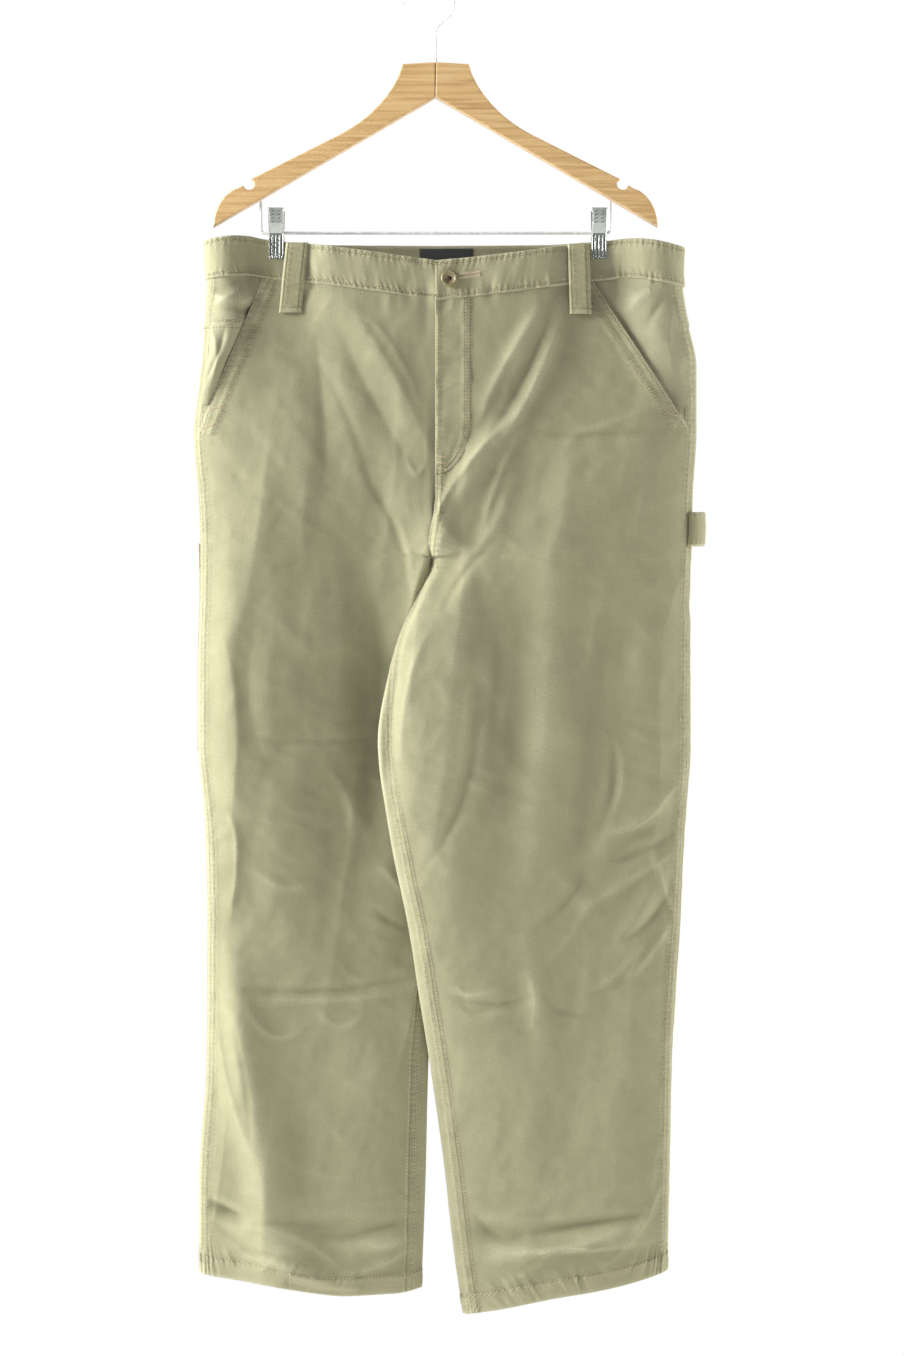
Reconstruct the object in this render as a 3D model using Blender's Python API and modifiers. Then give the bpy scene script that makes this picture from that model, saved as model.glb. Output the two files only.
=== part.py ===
"""Carpenter jeans in heavy cotton canvas, clipped by the waistband to a wooden hanger.

The origin is the seat of the hanger's hook, where a rail carries it. X runs to the viewer's right,
Y away from the viewer and Z up. The garment's own sides are the wearer's: its right leg is the one
at -X. All the cloth comes from one surface, `cloth_point`, which closes a ring round each leg at
every height. Each cloth piece is a stretch of that surface with a wall of its own, and what is
sewn on a panel is the panel's own surface moved out.
"""

import math

import bmesh
import bpy
import numpy as np
from mathutils import Vector
from mathutils.bvhtree import BVHTree

MM = 0.001

# ---------------------------------------------------------------- driving sizes, in millimetres
CLOTH = 1.4             # wall of a leg panel
SEAM_GAP = 0.3          # air between two pieces that a seam joins
BAND_WALL = 2.2         # waistband: two layers and the turned-in edges
BAND_LIFT = 0.7         # how far the waistband stands out from the panels
BAND_GAP = 0.6
BAND_HEIGHT = 40.0
BAND_UNDERLAP = 34.0    # the end of the band that lies under the button end
HEM_HEIGHT = 20.0
HEM_WALL = 2.4
HEM_LIFT = 0.5
HEM_GAP = 0.6
PATCH = 1.2             # wall of a pocket patch
LOOP_WALL = 1.8         # belt loops and hammer loop
FLY_WIDTH = 37.0
FLY_DROP = 496.0        # foot of the fly, below the hook's seat
CLAMPED = 2.8           # half the depth of both layers between a clip's jaws

HANGER_CENTRE = 5.5     # the hanger's middle lies this far to +X of the hook's seat
CROTCH = 575.0          # drop of the crotch point
RISE_TURN = {"front": 520.0, "back": 478.0}   # where the centre seams start to turn under

CLIP_AT = {"right": 159.0, "left": 163.5}     # clip centres, out from the middle
SIGN = {"right": -1.0, "left": 1.0}

# Sections of the legs. Every length is in mm. drop is below the hook's seat; inner and outer are
# the section's two edges, measured out from the middle (negative is past the middle); lean moves
# the inner edge back (+) or forward (-), so that one thigh lies before the other; front and back
# are the half depths; inner_cap and outer_cap say how far in from each edge the section rounds.
SECTION = ("drop", "inner", "outer", "lean", "front", "back", "inner_cap", "outer_cap")
LEG_SECTIONS = {
    "right": (
        (250, 0, 231, 0, 17, 13, 0, 26),
        (300, 0, 229, 0, 20, 15, 0, 32),
        (345, 0, 231, 0, 24, 20, 0, 42),
        (400, 0, 236, 0, 26, 25, 0, 55),
        (452, 0, 242, 0, 27, 28, 0, 68),
        (520, 0, 237, 0, 26, 30, 10, 80),
        (575, 0.2, 235, 0, 24, 30, 34, 88),
        (588, 2.0, 235, 8, 23, 30, 40, 89),
        (604, 1.0, 235, 15, 22, 29, 48, 90),
        (622, -6, 235, 21, 21, 28, 56, 91),
        (650, -18, 236, 25, 19, 27, 68, 93),
        (690, -30, 237, 27, 18, 26, 78, 96),
        (760, -36, 237, 27, 18, 25, 86, 100),
        (850, -22, 230, 22, 18, 23, 88, 100),
        (950, -4, 228, 15, 19, 21, 88, 98),
        (1010, 2, 228, 10, 19, 20, 88, 97),
        (1080, 7, 229, 4, 19, 19, 86, 95),
        (1200, 10, 236, 0, 18, 18, 84, 92),
        (1330, 15, 236, 0, 17, 17, 84, 90),
    ),
    "left": (
        (250, 0, 248, 0, 17, 13, 0, 26),
        (300, 0, 246, 0, 20, 15, 0, 32),
        (345, 0, 253, 0, 24, 20, 0, 42),
        (385, 0, 261, 0, 27, 24, 0, 52),
        (450, 0, 261, 0, 30, 28, 0, 68),
        (520, 0, 257, 0, 33, 29, 10, 80),
        (575, 0.2, 256, 0, 33, 28, 34, 88),
        (588, 1.0, 255, -8, 32, 25, 40, 89),
        (604, -10, 255, -15, 31, 22, 48, 90),
        (622, -20, 254, -20, 30, 20, 56, 91),
        (650, -34, 255, -24, 28, 18, 68, 93),
        (690, -46, 255, -26, 27, 17, 78, 96),
        (760, -57, 255, -26, 26, 17, 90, 100),
        (850, -46, 249, -23, 24, 17, 92, 100),
        (950, -26, 244, -16, 22, 18, 90, 98),
        (1010, -17, 240, -11, 20, 18, 90, 97),
        (1080, -6, 236, -5, 19, 19, 86, 95),
        (1180, 8, 234, 0, 18, 18, 84, 92),
        (1270, 18, 232, 0, 17, 17, 84, 90),
        (1335, 28, 231, 0, 17, 17, 84, 90),
    ),
}

# The waistband's top edge: distance out from the middle and drop, in front and behind.
WAIST_LINE = {
    ("right", "front"): ((0, 281), (32, 277), (76, 271), (126, 264), (169, 258.5), (187, 256), (231, 260)),
    ("left", "front"): ((0, 282), (32, 279), (78, 273.5), (124, 267), (172, 260), (189, 258.5), (248, 267)),
    ("right", "back"): ((0, 263), (120, 262), (187, 259), (231, 260)),
    ("left", "back"): ((0, 263), (120, 262), (189, 260), (248, 267)),
}

# The hem's edge, from the inner edge of each leg to the outer one.
HEM_LINE = {
    "right": ((16, 1306), (40, 1310), (90, 1311), (168, 1300), (236, 1292)),
    "left": ((28, 1332), (66, 1325), (115, 1315), (173, 1305), (231, 1290)),
}
HEM_BACK_RISE = 6.0     # the back of each hem hangs this much higher

# Where each side seam and inseam runs on the ring (see `cloth_point` for the ring's coordinate).
SEAM_LINE = ("drop", "inseam", "outseam")
SEAMS = (
    (250, -1.00, 1.45),
    (345, -1.00, 1.55),
    (455, -1.00, 1.66),
    (575, -1.00, 1.70),
    (650, -0.96, 1.71),
    (760, -0.80, 1.71),
    (900, -0.72, 1.70),
    (1340, -0.70, 1.70),
)

# Slant of the front pocket: top and foot, as distance out and drop.
SLANT = {"right": ((171, 296), (236, 455)), "left": ((158, 302), (251, 449))}
POCKET_FLOOR = 492.0    # foot of the pocket's inner panel, hidden behind the front
POCKET_BEHIND = 16.0    # how far that panel runs in behind the slant

YOKE_LINE = ((0, 378), (120, 356), (250, 340))   # seam between yoke and back panel

# The share of its depth that the cloth loses to each clip, by drop.
PINCH = ((250, 1.0), (284, 1.0), (302, 0.80), (345, 0.45), (400, 0.20), (475, 0.0))

# Large folds. from and to are places in the front view, (across, drop) with across from the
# garment's middle to the viewer's right; width is the fold's half width; height is + for a ridge.
FOLD = ("face", "across_a", "drop_a", "across_b", "drop_b", "width", "height")
FOLDS = (
    # fan from the left belt loop to the crotch
    ("front", 108, 322, 44, 440, 12, 6),
    ("front", 92, 330, 40, 455, 11, -4),
    ("front", 126, 330, 70, 440, 13, 7),
    ("front", 72, 440, 14, 535, 15, 11),
    ("front", 12, 540, -30, 660, 15, 5),
    ("front", 112, 350, 62, 450, 10, -6),
    ("front", 52, 520, 2, 610, 17, -7),
    # fan from the right belt loop
    ("front", -92, 322, -12, 450, 14, 4),
    ("front", -104, 345, -22, 490, 15, -4),
    ("front", -122, 340, -104, 520, 17, -3),
    ("front", -62, 470, -24, 660, 18, -7),
    # thighs and knees
    ("front", 82, 470, 74, 900, 24, -5),
    ("front", 128, 470, 96, 960, 26, 5),
    ("front", 46, 710, -2, 885, 10, -4),
    ("front", -206, 600, -222, 830, 20, 6),
    ("front", -66, 620, -60, 800, 20, -6),
    ("front", -104, 800, -92, 960, 22, -5),
    ("front", -220, 960, -178, 1235, 15, 6),
    ("front", 240, 800, 140, 880, 11, 4),
    ("front", 238, 870, 170, 985, 11, 4),
    ("front", 90, 965, 108, 1060, 14, 4),
    # breaks above the hems
    ("front", -226, 1232, -150, 1254, 10, -5),
    ("front", -150, 1254, -30, 1248, 10, -4),
    ("front", -190, 1245, -90, 1300, 13, 4),
    ("front", 40, 1246, 110, 1256, 10, -4),
    ("front", 110, 1250, 218, 1228, 10, -5),
    # behind
    ("back", 60, 330, 20, 520, 16, 4),
    ("back", -64, 334, -24, 515, 16, 4),
    ("back", 90, 560, 30, 690, 18, 6),
    ("back", -92, 570, -30, 700, 18, 6),
    ("back", 150, 600, 130, 960, 26, -4),
    ("back", -146, 620, -134, 940, 24, -5),
    ("back", 70, 880, 150, 960, 14, 4),
    ("back", -210, 880, -130, 930, 14, -4),
    ("back", 60, 1150, 190, 1200, 16, -4),
    ("back", -60, 1170, -180, 1210, 16, -4),
)

COLOURS = {
    "canvas": (0.40, 0.385, 0.255),
    "canvas_edge": (0.44, 0.42, 0.28),
    "button": (0.30, 0.24, 0.15),
    "label": (0.012, 0.013, 0.014),
    "wood": (0.60, 0.41, 0.20),
    "steel": (0.62, 0.64, 0.65),
}


# ---------------------------------------------------------------- the cloth's surface
def smooth_through(points, at):
    """A smooth curve through (position, value) points that never overshoots them."""
    where, value = (np.array(column, float) for column in zip(*points))
    step = np.diff(where)
    slope = np.diff(value) / step
    tangent = np.zeros_like(value)
    same_way = slope[:-1] * slope[1:] > 0
    mean = np.where(same_way, 2 * slope[:-1] * slope[1:] / np.where(same_way, slope[:-1] + slope[1:], 1), 0)
    tangent[1:-1] = mean
    tangent[0], tangent[-1] = slope[0], slope[-1]
    at = np.clip(np.asarray(at, float), where[0], where[-1])
    span = np.clip(np.searchsorted(where, at, side="right") - 1, 0, len(step) - 1)
    t = (at - where[span]) / step[span]
    rise = (1 + 2 * t) * (1 - t) ** 2 * value[span] + t ** 2 * (3 - 2 * t) * value[span + 1]
    turn = t * (1 - t) ** 2 * tangent[span] - t ** 2 * (1 - t) * tangent[span + 1]
    return rise + turn * step[span]


def column(rows, names, name, at):
    """One named column of a table of sections, read at any drop."""
    place = names.index(name)
    return smooth_through([(row[0], row[place]) for row in rows], at)


def ease(share):
    share = np.clip(share, 0, 1)
    return share * share * (3 - 2 * share)


def turn_under(face, drop):
    """How far round its inner edge a leg is built: 0 at the front, 1 at the crotch point."""
    start = RISE_TURN[face]
    share = np.clip((drop - start) / (CROTCH - start), 0, 1)
    return np.arcsin(share) / (math.pi / 2)


def section_of(leg, face, drop):
    rows = LEG_SECTIONS[leg]
    found = {name: column(rows, SECTION, name, drop) for name in SECTION[1:]}
    turned = np.sin(turn_under(face, drop) * math.pi / 2)
    joined = -found["inner_cap"] * (1 - turned)
    found["inner"] = np.where(drop < CROTCH, joined, found["inner"])
    found["lean"] = np.where(drop < CROTCH, 0.0, found["lean"])
    return found


def pinched(leg, out, drop, depth):
    """The depth of the cloth with what the leg's clip takes from it."""
    width = 29 + 0.16 * np.clip(drop - 284, 0, 200)
    share = smooth_through(PINCH, drop) * np.exp(-(np.abs(out - CLIP_AT[leg]) / width) ** 5)
    return CLAMPED + (depth - CLAMPED) * (1 - share)


def bare_point(leg, ring, drop):
    """The surface without its folds. ring runs from -1 at the inner edge by 0 and 1 along the
    front to 2 at the outer edge, and by 3 and 4 along the back to 5, the inner edge again."""
    ring = np.where(ring > 5, ring - 6, ring)
    behind = ring > 2
    along = np.where(behind, 4 - ring, ring)
    front, back = section_of(leg, "front", drop), section_of(leg, "back", drop)
    cut = {name: np.where(behind, back[name], front[name]) for name in front}
    depth = np.where(behind, cut["back"], cut["front"])
    start, end = cut["inner"] + cut["inner_cap"], cut["outer"] - cut["outer_cap"]
    inner_turn = np.clip(-along, 0, 1) * math.pi / 2
    outer_turn = np.clip(along - 1, 0, 1) * math.pi / 2
    out = start + (end - start) * np.clip(along, 0, 1)
    out = out - cut["inner_cap"] * np.sin(inner_turn) + cut["outer_cap"] * np.sin(outer_turn)
    width = np.maximum(cut["outer"] - cut["inner"], 1)
    lean = cut["lean"] * (1 - ease((out - cut["inner"]) / (0.75 * width)))
    reach = pinched(leg, out, drop, depth) * np.cos(inner_turn) * np.cos(outer_turn)
    y = lean + np.where(behind, reach, -reach)
    return np.stack([SIGN[leg] * out, y, -drop], axis=-1)


def fold_height(face, across, drop):
    """Sum of the folds of one face: each is a soft bar that fades towards both of its ends."""
    total = np.zeros_like(across)
    for row in FOLDS:
        fold = dict(zip(FOLD, row))
        if fold["face"] != face:
            continue
        run = np.array([fold["across_b"] - fold["across_a"], fold["drop_b"] - fold["drop_a"]], float)
        length = np.hypot(*run)
        to = np.stack([across - fold["across_a"], drop - fold["drop_a"]], axis=-1)
        t = np.clip(to @ run / length ** 2, 0, 1)
        off = np.linalg.norm(to - t[..., None] * run, axis=-1)
        taper = 0.35 + 0.65 * np.sin(math.pi * t)
        total += fold["height"] * taper * np.exp(-((off / fold["width"]) ** 2))
    return total


def outward(leg, ring, drop):
    """Unit normal of the bare surface, pointing out of the garment."""
    along = bare_point(leg, ring + 0.01, drop) - bare_point(leg, ring - 0.01, drop)
    down = bare_point(leg, ring, drop + 1.0) - bare_point(leg, ring, drop - 1.0)
    normal = -SIGN[leg] * np.cross(along, down)
    return normal / np.maximum(np.linalg.norm(normal, axis=-1, keepdims=True), 1e-9)


def cloth_point(leg, ring, drop, lift=0.0):
    """A point of the cloth, moved out by lift."""
    ring, drop = np.broadcast_arrays(np.asarray(ring, float), np.asarray(drop, float))
    base = bare_point(leg, ring, drop)
    wrapped = np.where(ring > 5, ring - 6, ring)
    calm = ease((drop - 290) / 40) * ease((1340 - drop) / 40)
    to_edge = np.clip(np.minimum(wrapped + 1, 5 - wrapped), 0, 1)
    at_seam = np.where(drop > CROTCH, ease(to_edge / 0.5), ease(np.abs(base[..., 0]) / 12))
    edge_fade = at_seam * ease(np.abs(wrapped - 2) / 0.6)
    front = fold_height("front", base[..., 0], drop)
    back = fold_height("back", base[..., 0], drop)
    height = np.where(wrapped > 2, back, front) * calm * edge_fade
    return base + outward(leg, ring, drop) * (height + lift)[..., None]


def ring_at(leg, face, out, drop):
    """The ring coordinate of a place on the front or the back, given its distance out."""
    cut = section_of(leg, face, drop)
    start, end = cut["inner"] + cut["inner_cap"], cut["outer"] - cut["outer_cap"]
    past = np.clip((out - end) / np.maximum(cut["outer_cap"], 1e-6), 0, 1)
    before = np.clip((start - out) / np.maximum(cut["inner_cap"], 1e-6), 0, 1)
    along = np.clip((out - start) / (end - start), 0, 1)
    along = along + (np.arcsin(past) - np.arcsin(before)) / (math.pi / 2)
    return along if face == "front" else 4 - along


def waist_drop(leg, ring):
    """Drop of the waistband's top edge."""
    out = SIGN[leg] * bare_point(leg, ring, np.full_like(ring, 280.0))[..., 0]
    front = smooth_through(WAIST_LINE[leg, "front"], out)
    back = smooth_through(WAIST_LINE[leg, "back"], out)
    return np.where(ring > 2, back, front)


def hem_drop(leg, ring):
    """Drop of the hem's edge."""
    out = SIGN[leg] * bare_point(leg, ring, np.full_like(ring, 1310.0))[..., 0]
    wrapped = np.where(ring > 5, ring - 6, ring)
    behind = ease((wrapped - 1.5) / 1.2) * ease((5.2 - wrapped) / 1.2)
    return smooth_through(HEM_LINE[leg], out) - HEM_BACK_RISE * behind


# ---------------------------------------------------------------- making walls
SHEETS = {}             # outer face of each cut piece, kept for what is sewn on it
COLUMNS = {}            # ring coordinates of a panel's top and foot


def even_ring(leg, first, last, drop, count, trim=0.0):
    """count ring coordinates from first to last, evenly spaced along the cloth at one drop."""
    fine = np.linspace(first, last, 241)
    line = bare_point(leg, fine, np.full_like(fine, drop))
    walked = np.concatenate([[0], np.cumsum(np.linalg.norm(np.diff(line, axis=0), axis=1))])
    return np.interp(np.linspace(trim, walked[-1] - trim, count), walked, fine)


def wall(name, colour, outer, inner, closed=False, kind="canvas"):
    """One closed solid between two grids of points, in mm: a sheet, extruded to its inner face."""
    rows, columns = outer.shape[:2]
    mesh = bmesh.new()
    bmesh.ops.create_grid(mesh, x_segments=columns - 1, y_segments=rows - 1, size=1.0)
    place = mesh.verts.layers.int.new("place")
    mesh.verts.ensure_lookup_table()
    for number, vert in enumerate(sorted(mesh.verts, key=lambda v: (round(v.co.y, 6), round(v.co.x, 6)))):
        vert[place] = number
        vert.co = Vector(outer[number // columns, number % columns])
    if closed:
        bmesh.ops.remove_doubles(mesh, verts=mesh.verts[:], dist=1e-4)
    bmesh.ops.triangulate(mesh, faces=mesh.faces[:], quad_method="FIXED")
    mesh.normal_update()
    middle = mesh.faces[:][len(mesh.faces) // 2]
    number = middle.verts[0][place]
    thickness = outer[number // columns, number % columns] - inner[number // columns, number % columns]
    if middle.normal.dot(Vector(thickness)) < 0:
        bmesh.ops.reverse_faces(mesh, faces=mesh.faces[:])
    SHEETS[name] = mesh.copy()
    made = bmesh.ops.extrude_face_region(mesh, geom=mesh.faces[:], use_keep_orig=True)
    for vert in (item for item in made["geom"] if isinstance(item, bmesh.types.BMVert)):
        vert.co = Vector(inner[vert[place] // columns, vert[place] % columns])
    return finish_mesh(name, mesh, colour, kind)


def sewn_on(name, under, outline, lift, thickness, colour="canvas", gape=None):
    """A patch on a piece: its own face, cut to an outline of (across, drop) and moved out."""
    mesh = SHEETS[under].copy()
    corners = [Vector((across, 0, -drop)) for across, drop in outline]
    centre = sum(corners, Vector()) / len(corners)
    for corner, following in zip(corners, corners[1:] + corners[:1]):
        side = (following - corner).cross(Vector((0, 1, 0)))
        if side.dot(corner - centre) < 0:
            side = -side
        bmesh.ops.bisect_plane(mesh, geom=mesh.verts[:] + mesh.edges[:] + mesh.faces[:], dist=0.05,
                               plane_co=corner, plane_no=side, clear_outer=True)
    bmesh.ops.triangulate(mesh, faces=mesh.faces[:])
    mesh.normal_update()
    mesh.verts.index_update()
    moved = [vert.normal.copy() for vert in mesh.verts]
    for vert, normal in zip(mesh.verts, moved):
        opened = gape(vert.co) if gape else 0.0
        vert.co += normal * (lift + thickness + opened)
    SHEETS[name] = mesh.copy()
    number = mesh.verts.layers.int.new("number")
    for vert in mesh.verts:
        vert[number] = vert.index
    made = bmesh.ops.extrude_face_region(mesh, geom=mesh.faces[:], use_keep_orig=True)
    for vert in (item for item in made["geom"] if isinstance(item, bmesh.types.BMVert)):
        vert.co -= moved[vert[number]] * thickness
    return finish_mesh(name, mesh, colour, "canvas")


def finish_mesh(name, mesh, colour, kind):
    bmesh.ops.scale(mesh, vec=(MM, MM, MM), verts=mesh.verts[:])
    bmesh.ops.recalc_face_normals(mesh, faces=mesh.faces[:])
    data = bpy.data.meshes.new(name)
    mesh.to_mesh(data)
    mesh.free()
    made = bpy.data.objects.new(name, data)
    return dress(made, colour, kind)


def dress(made, colour, kind="canvas"):
    """Material, collection and parent of a finished piece."""
    metallic, roughness = {"canvas": (0.0, 0.9), "wood": (0.0, 0.45), "metal": (1.0, 0.25),
                           "plastic": (0.0, 0.4)}[kind]
    material = bpy.data.materials.get(colour) or bpy.data.materials.new(colour)
    material.use_nodes = True
    shader = material.node_tree.nodes["Principled BSDF"]
    shader.inputs["Base Color"].default_value = (*COLOURS[colour], 1.0)
    shader.inputs["Metallic"].default_value = metallic
    shader.inputs["Roughness"].default_value = roughness
    made.data.materials.clear()
    made.data.materials.append(material)
    if made.name not in GARMENT.objects:
        GARMENT.objects.link(made)
    made.parent = CENTRE
    if made.type == "MESH":
        made.data.shade_smooth()
        made.data.set_sharp_from_angle(angle=math.radians(40))
    return made


def panel_rows(top, bottom, drops):
    """Drops of a panel's rows: the named ones, bent at each end to follow the two edges."""
    drops = np.asarray(drops, float)[:, None]
    first, last = drops[0, 0], drops[-1, 0]
    reach = 90.0
    return (drops + (top[None] - first) * ease(1 - (drops - first) / reach)
            + (bottom[None] - last) * ease(1 - (last - drops) / reach))


def cloth_piece(name, leg, ring, drop, lift, thickness, colour="canvas", closed=False):
    """A wall on the leg's surface, from lift inwards."""
    outer = cloth_point(leg, ring, drop, lift)
    inner = cloth_point(leg, ring, drop, lift - thickness)
    return wall(name, colour, outer, inner, closed)


def leg_panel(name, leg, drops, first_at, last_at, top_at, columns):
    """A front or back panel between two seams. first_at and last_at give the ring at a drop."""
    middle = np.asarray(drops, float)
    shares = []
    for drop in middle:
        ends = float(first_at(drop)), float(last_at(drop))
        even = even_ring(leg, *ends, drop, columns, SEAM_GAP / 2)
        shares.append((even - ends[0]) / (ends[1] - ends[0]))
    shares = np.array(shares)
    drop = middle[:, None] + 0 * shares
    for _ in range(4):
        first, last = first_at(drop), last_at(drop)
        ring = first + shares * (last - first)
        foot = hem_drop(leg, ring[-1]) - HEM_HEIGHT - HEM_GAP
        drop = panel_rows(top_at(leg, ring[0]), foot, middle)
    COLUMNS[name] = ring[0], ring[-1]
    return cloth_piece(name, leg, ring, drop, 0.0, CLOTH)


def inseam(drop):
    return column(SEAMS, SEAM_LINE, "inseam", drop)


def outseam(drop):
    return column(SEAMS, SEAM_LINE, "outseam", drop)


def front_start(drop):
    """Inner boundary of a front panel: centre seam, then crotch curve, then inseam."""
    return np.where(drop < CROTCH, -turn_under("front", drop), inseam(drop))


def back_end(drop):
    """Inner boundary of a back panel."""
    return np.where(drop < CROTCH, 4 + turn_under("back", drop), 6 + inseam(drop))


def slant_out(leg, drop):
    """Distance out of the front pocket's slanted edge."""
    (top_out, top_drop), (foot_out, foot_drop) = SLANT[leg]
    return top_out + (foot_out - top_out) * (drop - top_drop) / (foot_drop - top_drop)


def front_end(leg):
    """Outer boundary of a front panel: the pocket's slant, then the outseam."""
    def at(drop):
        return np.minimum(outseam(drop), ring_at(leg, "front", slant_out(leg, drop), drop))
    return at


def below_band(leg, ring):
    return waist_drop(leg, ring) + BAND_HEIGHT + BAND_GAP


def yoke_drop(leg, ring):
    out = SIGN[leg] * bare_point(leg, ring, np.full_like(ring, 350.0))[..., 0]
    return smooth_through(YOKE_LINE, out)


def below_yoke(leg, ring):
    return yoke_drop(leg, ring) + SEAM_GAP


# ---------------------------------------------------------------- the cut pieces
FRONT_ROWS = (312, 330, 352, 378, 405, 432, 455, 480, 505, 522, 538, 552, 564, 575, 590, 610, 635,
              665, 700, 740, 785, 835, 885, 935, 985, 1040, 1095, 1150, 1200, 1235, 1262, 1288)
BACK_ROWS = (360,) + FRONT_ROWS[3:]


def make_legs():
    for leg in SIGN:
        leg_panel(f"front_{leg}", leg, FRONT_ROWS, front_start, front_end(leg), below_band, 15)
        leg_panel(f"back_{leg}", leg, BACK_ROWS, outseam, back_end, below_yoke, 15)


def make_yokes():
    for leg in SIGN:
        ring = even_ring(leg, float(outseam(330.0)), 4.0, 330.0, 15, SEAM_GAP / 2)
        COLUMNS[f"yoke_{leg}"] = ring, ring
        top, foot = below_band(leg, ring), yoke_drop(leg, ring)
        drop = top + (foot - top) * np.linspace(0, 1, 4)[:, None]
        share = (ring - outseam(330.0)) / (4.0 - outseam(330.0))
        first = outseam(drop[:, :1])
        cloth_piece(f"yoke_{leg}", leg, first + share * (4.0 - first), drop, 0.0, CLOTH)


def make_pocket_panels():
    """The hip piece that shows inside each slanted pocket: sunk behind the front, level at the side."""
    for leg in SIGN:
        (top_out, _), (foot_out, _) = SLANT[leg]
        levels = np.linspace(305.0, POCKET_FLOOR, 10)
        share = np.linspace(0, 1, 9)
        edge = np.minimum(slant_out(leg, levels), foot_out)[:, None] + 0 * share
        drops = levels[:, None] + 0 * share
        for _ in range(4):
            last = outseam(drops) - SIDE_TRIM
            first = ring_at(leg, "front", edge - POCKET_BEHIND, drops)
            ring = first + share * (last - first)
            bend = ease(1 - (levels[:, None] - levels[0]) / 90.0)
            drops = levels[:, None] + (below_band(leg, ring[0]) - levels[0]) * bend
        COLUMNS[f"pocket_panel_{leg}"] = ring[0], ring[-1]
        seen = ring_at(leg, "front", edge, drops)
        width = last - seen
        shown = ease((ring - seen) / np.maximum(width, 1e-3)) * ease((width - 0.12) / 0.25)
        lift = -POCKET_SUNK * (1 - shown)
        outer = cloth_point(leg, ring, drops, lift)
        inner = cloth_point(leg, ring, drops, lift - PATCH)
        wall(f"pocket_panel_{leg}", "canvas", outer, inner)
    (top_out, top_drop), (foot_out, foot_drop) = SLANT["right"]
    slope = (foot_out - top_out) / (foot_drop - top_drop)
    edge = [-(slant_out("right", drop) + COIN_IN) for drop in (COIN_TOP, COIN_FOOT)]
    outline = ((edge[0], COIN_TOP), (-240, COIN_TOP), (-240, COIN_FOOT), (edge[1], COIN_FOOT))
    sewn_on("coin_pocket", "pocket_panel_right", outline, SEAM_GAP, PATCH, "canvas_edge")


POCKET_SUNK = CLOTH + PATCH + 2.2
SIDE_TRIM = 0.015       # what the hip piece loses at the side seam, as a share of a ring step
COIN_TOP, COIN_FOOT, COIN_IN = 341.0, 425.0, 1.5


def make_fly():
    """The fly's front, a J-shaped layer on the wearer's left front."""
    straight = 442.0
    outline = [(0.5, 300), (FLY_WIDTH, 300)]
    for turn in np.radians(np.linspace(0, 80, 6)):
        outline.append((FLY_WIDTH * math.cos(turn), straight + (FLY_DROP - straight) * math.sin(turn)))
    outline.append((0.5, FLY_DROP))
    sewn_on("fly", "front_left", outline, SEAM_GAP, PATCH)


def band_columns(leg):
    """The band's columns, in line with those of the pieces below it."""
    front, back = COLUMNS[f"front_{leg}"][0], COLUMNS[f"yoke_{leg}"][0]
    pocket = COLUMNS[f"pocket_panel_{leg}"][0]
    hip = pocket[pocket > front[-1] + 0.06]
    clip = np.array([CLIP_AT[leg] - 9.0, CLIP_AT[leg] + 9.0])
    held = [ring_at(leg, face, clip, np.full(2, 275.0)) for face in ("front", "back")]
    ring = np.sort(np.concatenate([[0.0], front[1:], hip[:-1], back[:-1], [4.0], *held]))
    apart = np.diff(ring, append=9.0) > 0.012
    return ring[apart]


def make_waistband():
    """One strip from its under end, round the wearer's right side and the back, to its button end."""
    height = np.linspace(0, 1, 4)[:, None]
    front = COLUMNS["front_left"][0]
    stretches = (
        ("left", ring_at("left", "front", np.linspace(BAND_UNDERLAP, 3, 4), np.full(4, 290.0))),
        ("right", band_columns("right")),
        ("left", band_columns("left")[::-1][1:]),
    )
    outer, inner = [], []
    for number, (leg, ring) in enumerate(stretches):
        drop = waist_drop(leg, ring) + height * BAND_HEIGHT
        out = SIGN[leg] * cloth_point(leg, ring, drop)[..., 0]
        under = BAND_WALL + 0.8
        sunk = under if number == 0 else under * (1 - ease(out / 60)) * (ring < 2) * (number == 1)
        lift = BAND_LIFT - sunk
        outer.append(cloth_point(leg, ring + 0 * drop, drop, lift))
        inner.append(cloth_point(leg, ring + 0 * drop, drop, lift - BAND_WALL))
    wall("waistband", "canvas", np.concatenate(outer, axis=1), np.concatenate(inner, axis=1))


def make_hems():
    for leg in SIGN:
        front, back = COLUMNS[f"front_{leg}"][1], COLUMNS[f"back_{leg}"][1]
        ring = np.concatenate([front, back, front[:1] + 6.0])
        foot = hem_drop(leg, ring)
        drop = foot - HEM_HEIGHT * np.linspace(1, 0, 3)[:, None]
        ring = np.where(ring > 5, ring - 6, ring)
        cloth_piece(f"hem_{leg}", leg, ring + 0 * drop, drop, HEM_LIFT, HEM_WALL, closed=True)


# Belt loops: face, distance to +X of the middle at the top and at the foot, width.
BELT_LOOPS = {
    "belt_loop_front_right": ("front", -137.5, -144.5, 22.5),
    "belt_loop_front_left": ("front", 142.5, 144.5, 21.5),
    "belt_loop_back_right": ("back", -128.0, -126.0, 22.0),
    "belt_loop_back_left": ("back", 134.0, 132.0, 22.0),
    "belt_loop_centre": ("back", 0.0, 0.0, 22.0),
}
LOOP_BELOW_BAND = 30.0
LOOP_BOW = 2.6          # room for a belt


def face_depth(names, face, across, drop):
    """How far out the built pieces stand at a place, seen from one face."""
    way = 1.0 if face == "front" else -1.0
    nearest = []
    for name in names:
        hit = BVHTree.FromBMesh(SHEETS[name]).ray_cast(Vector((across, -200 * way, -drop)), Vector((0, way, 0)))
        if hit[0] is not None:
            nearest.append(-way * hit[0].y)
    return max(nearest, default=-100.0)


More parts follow.
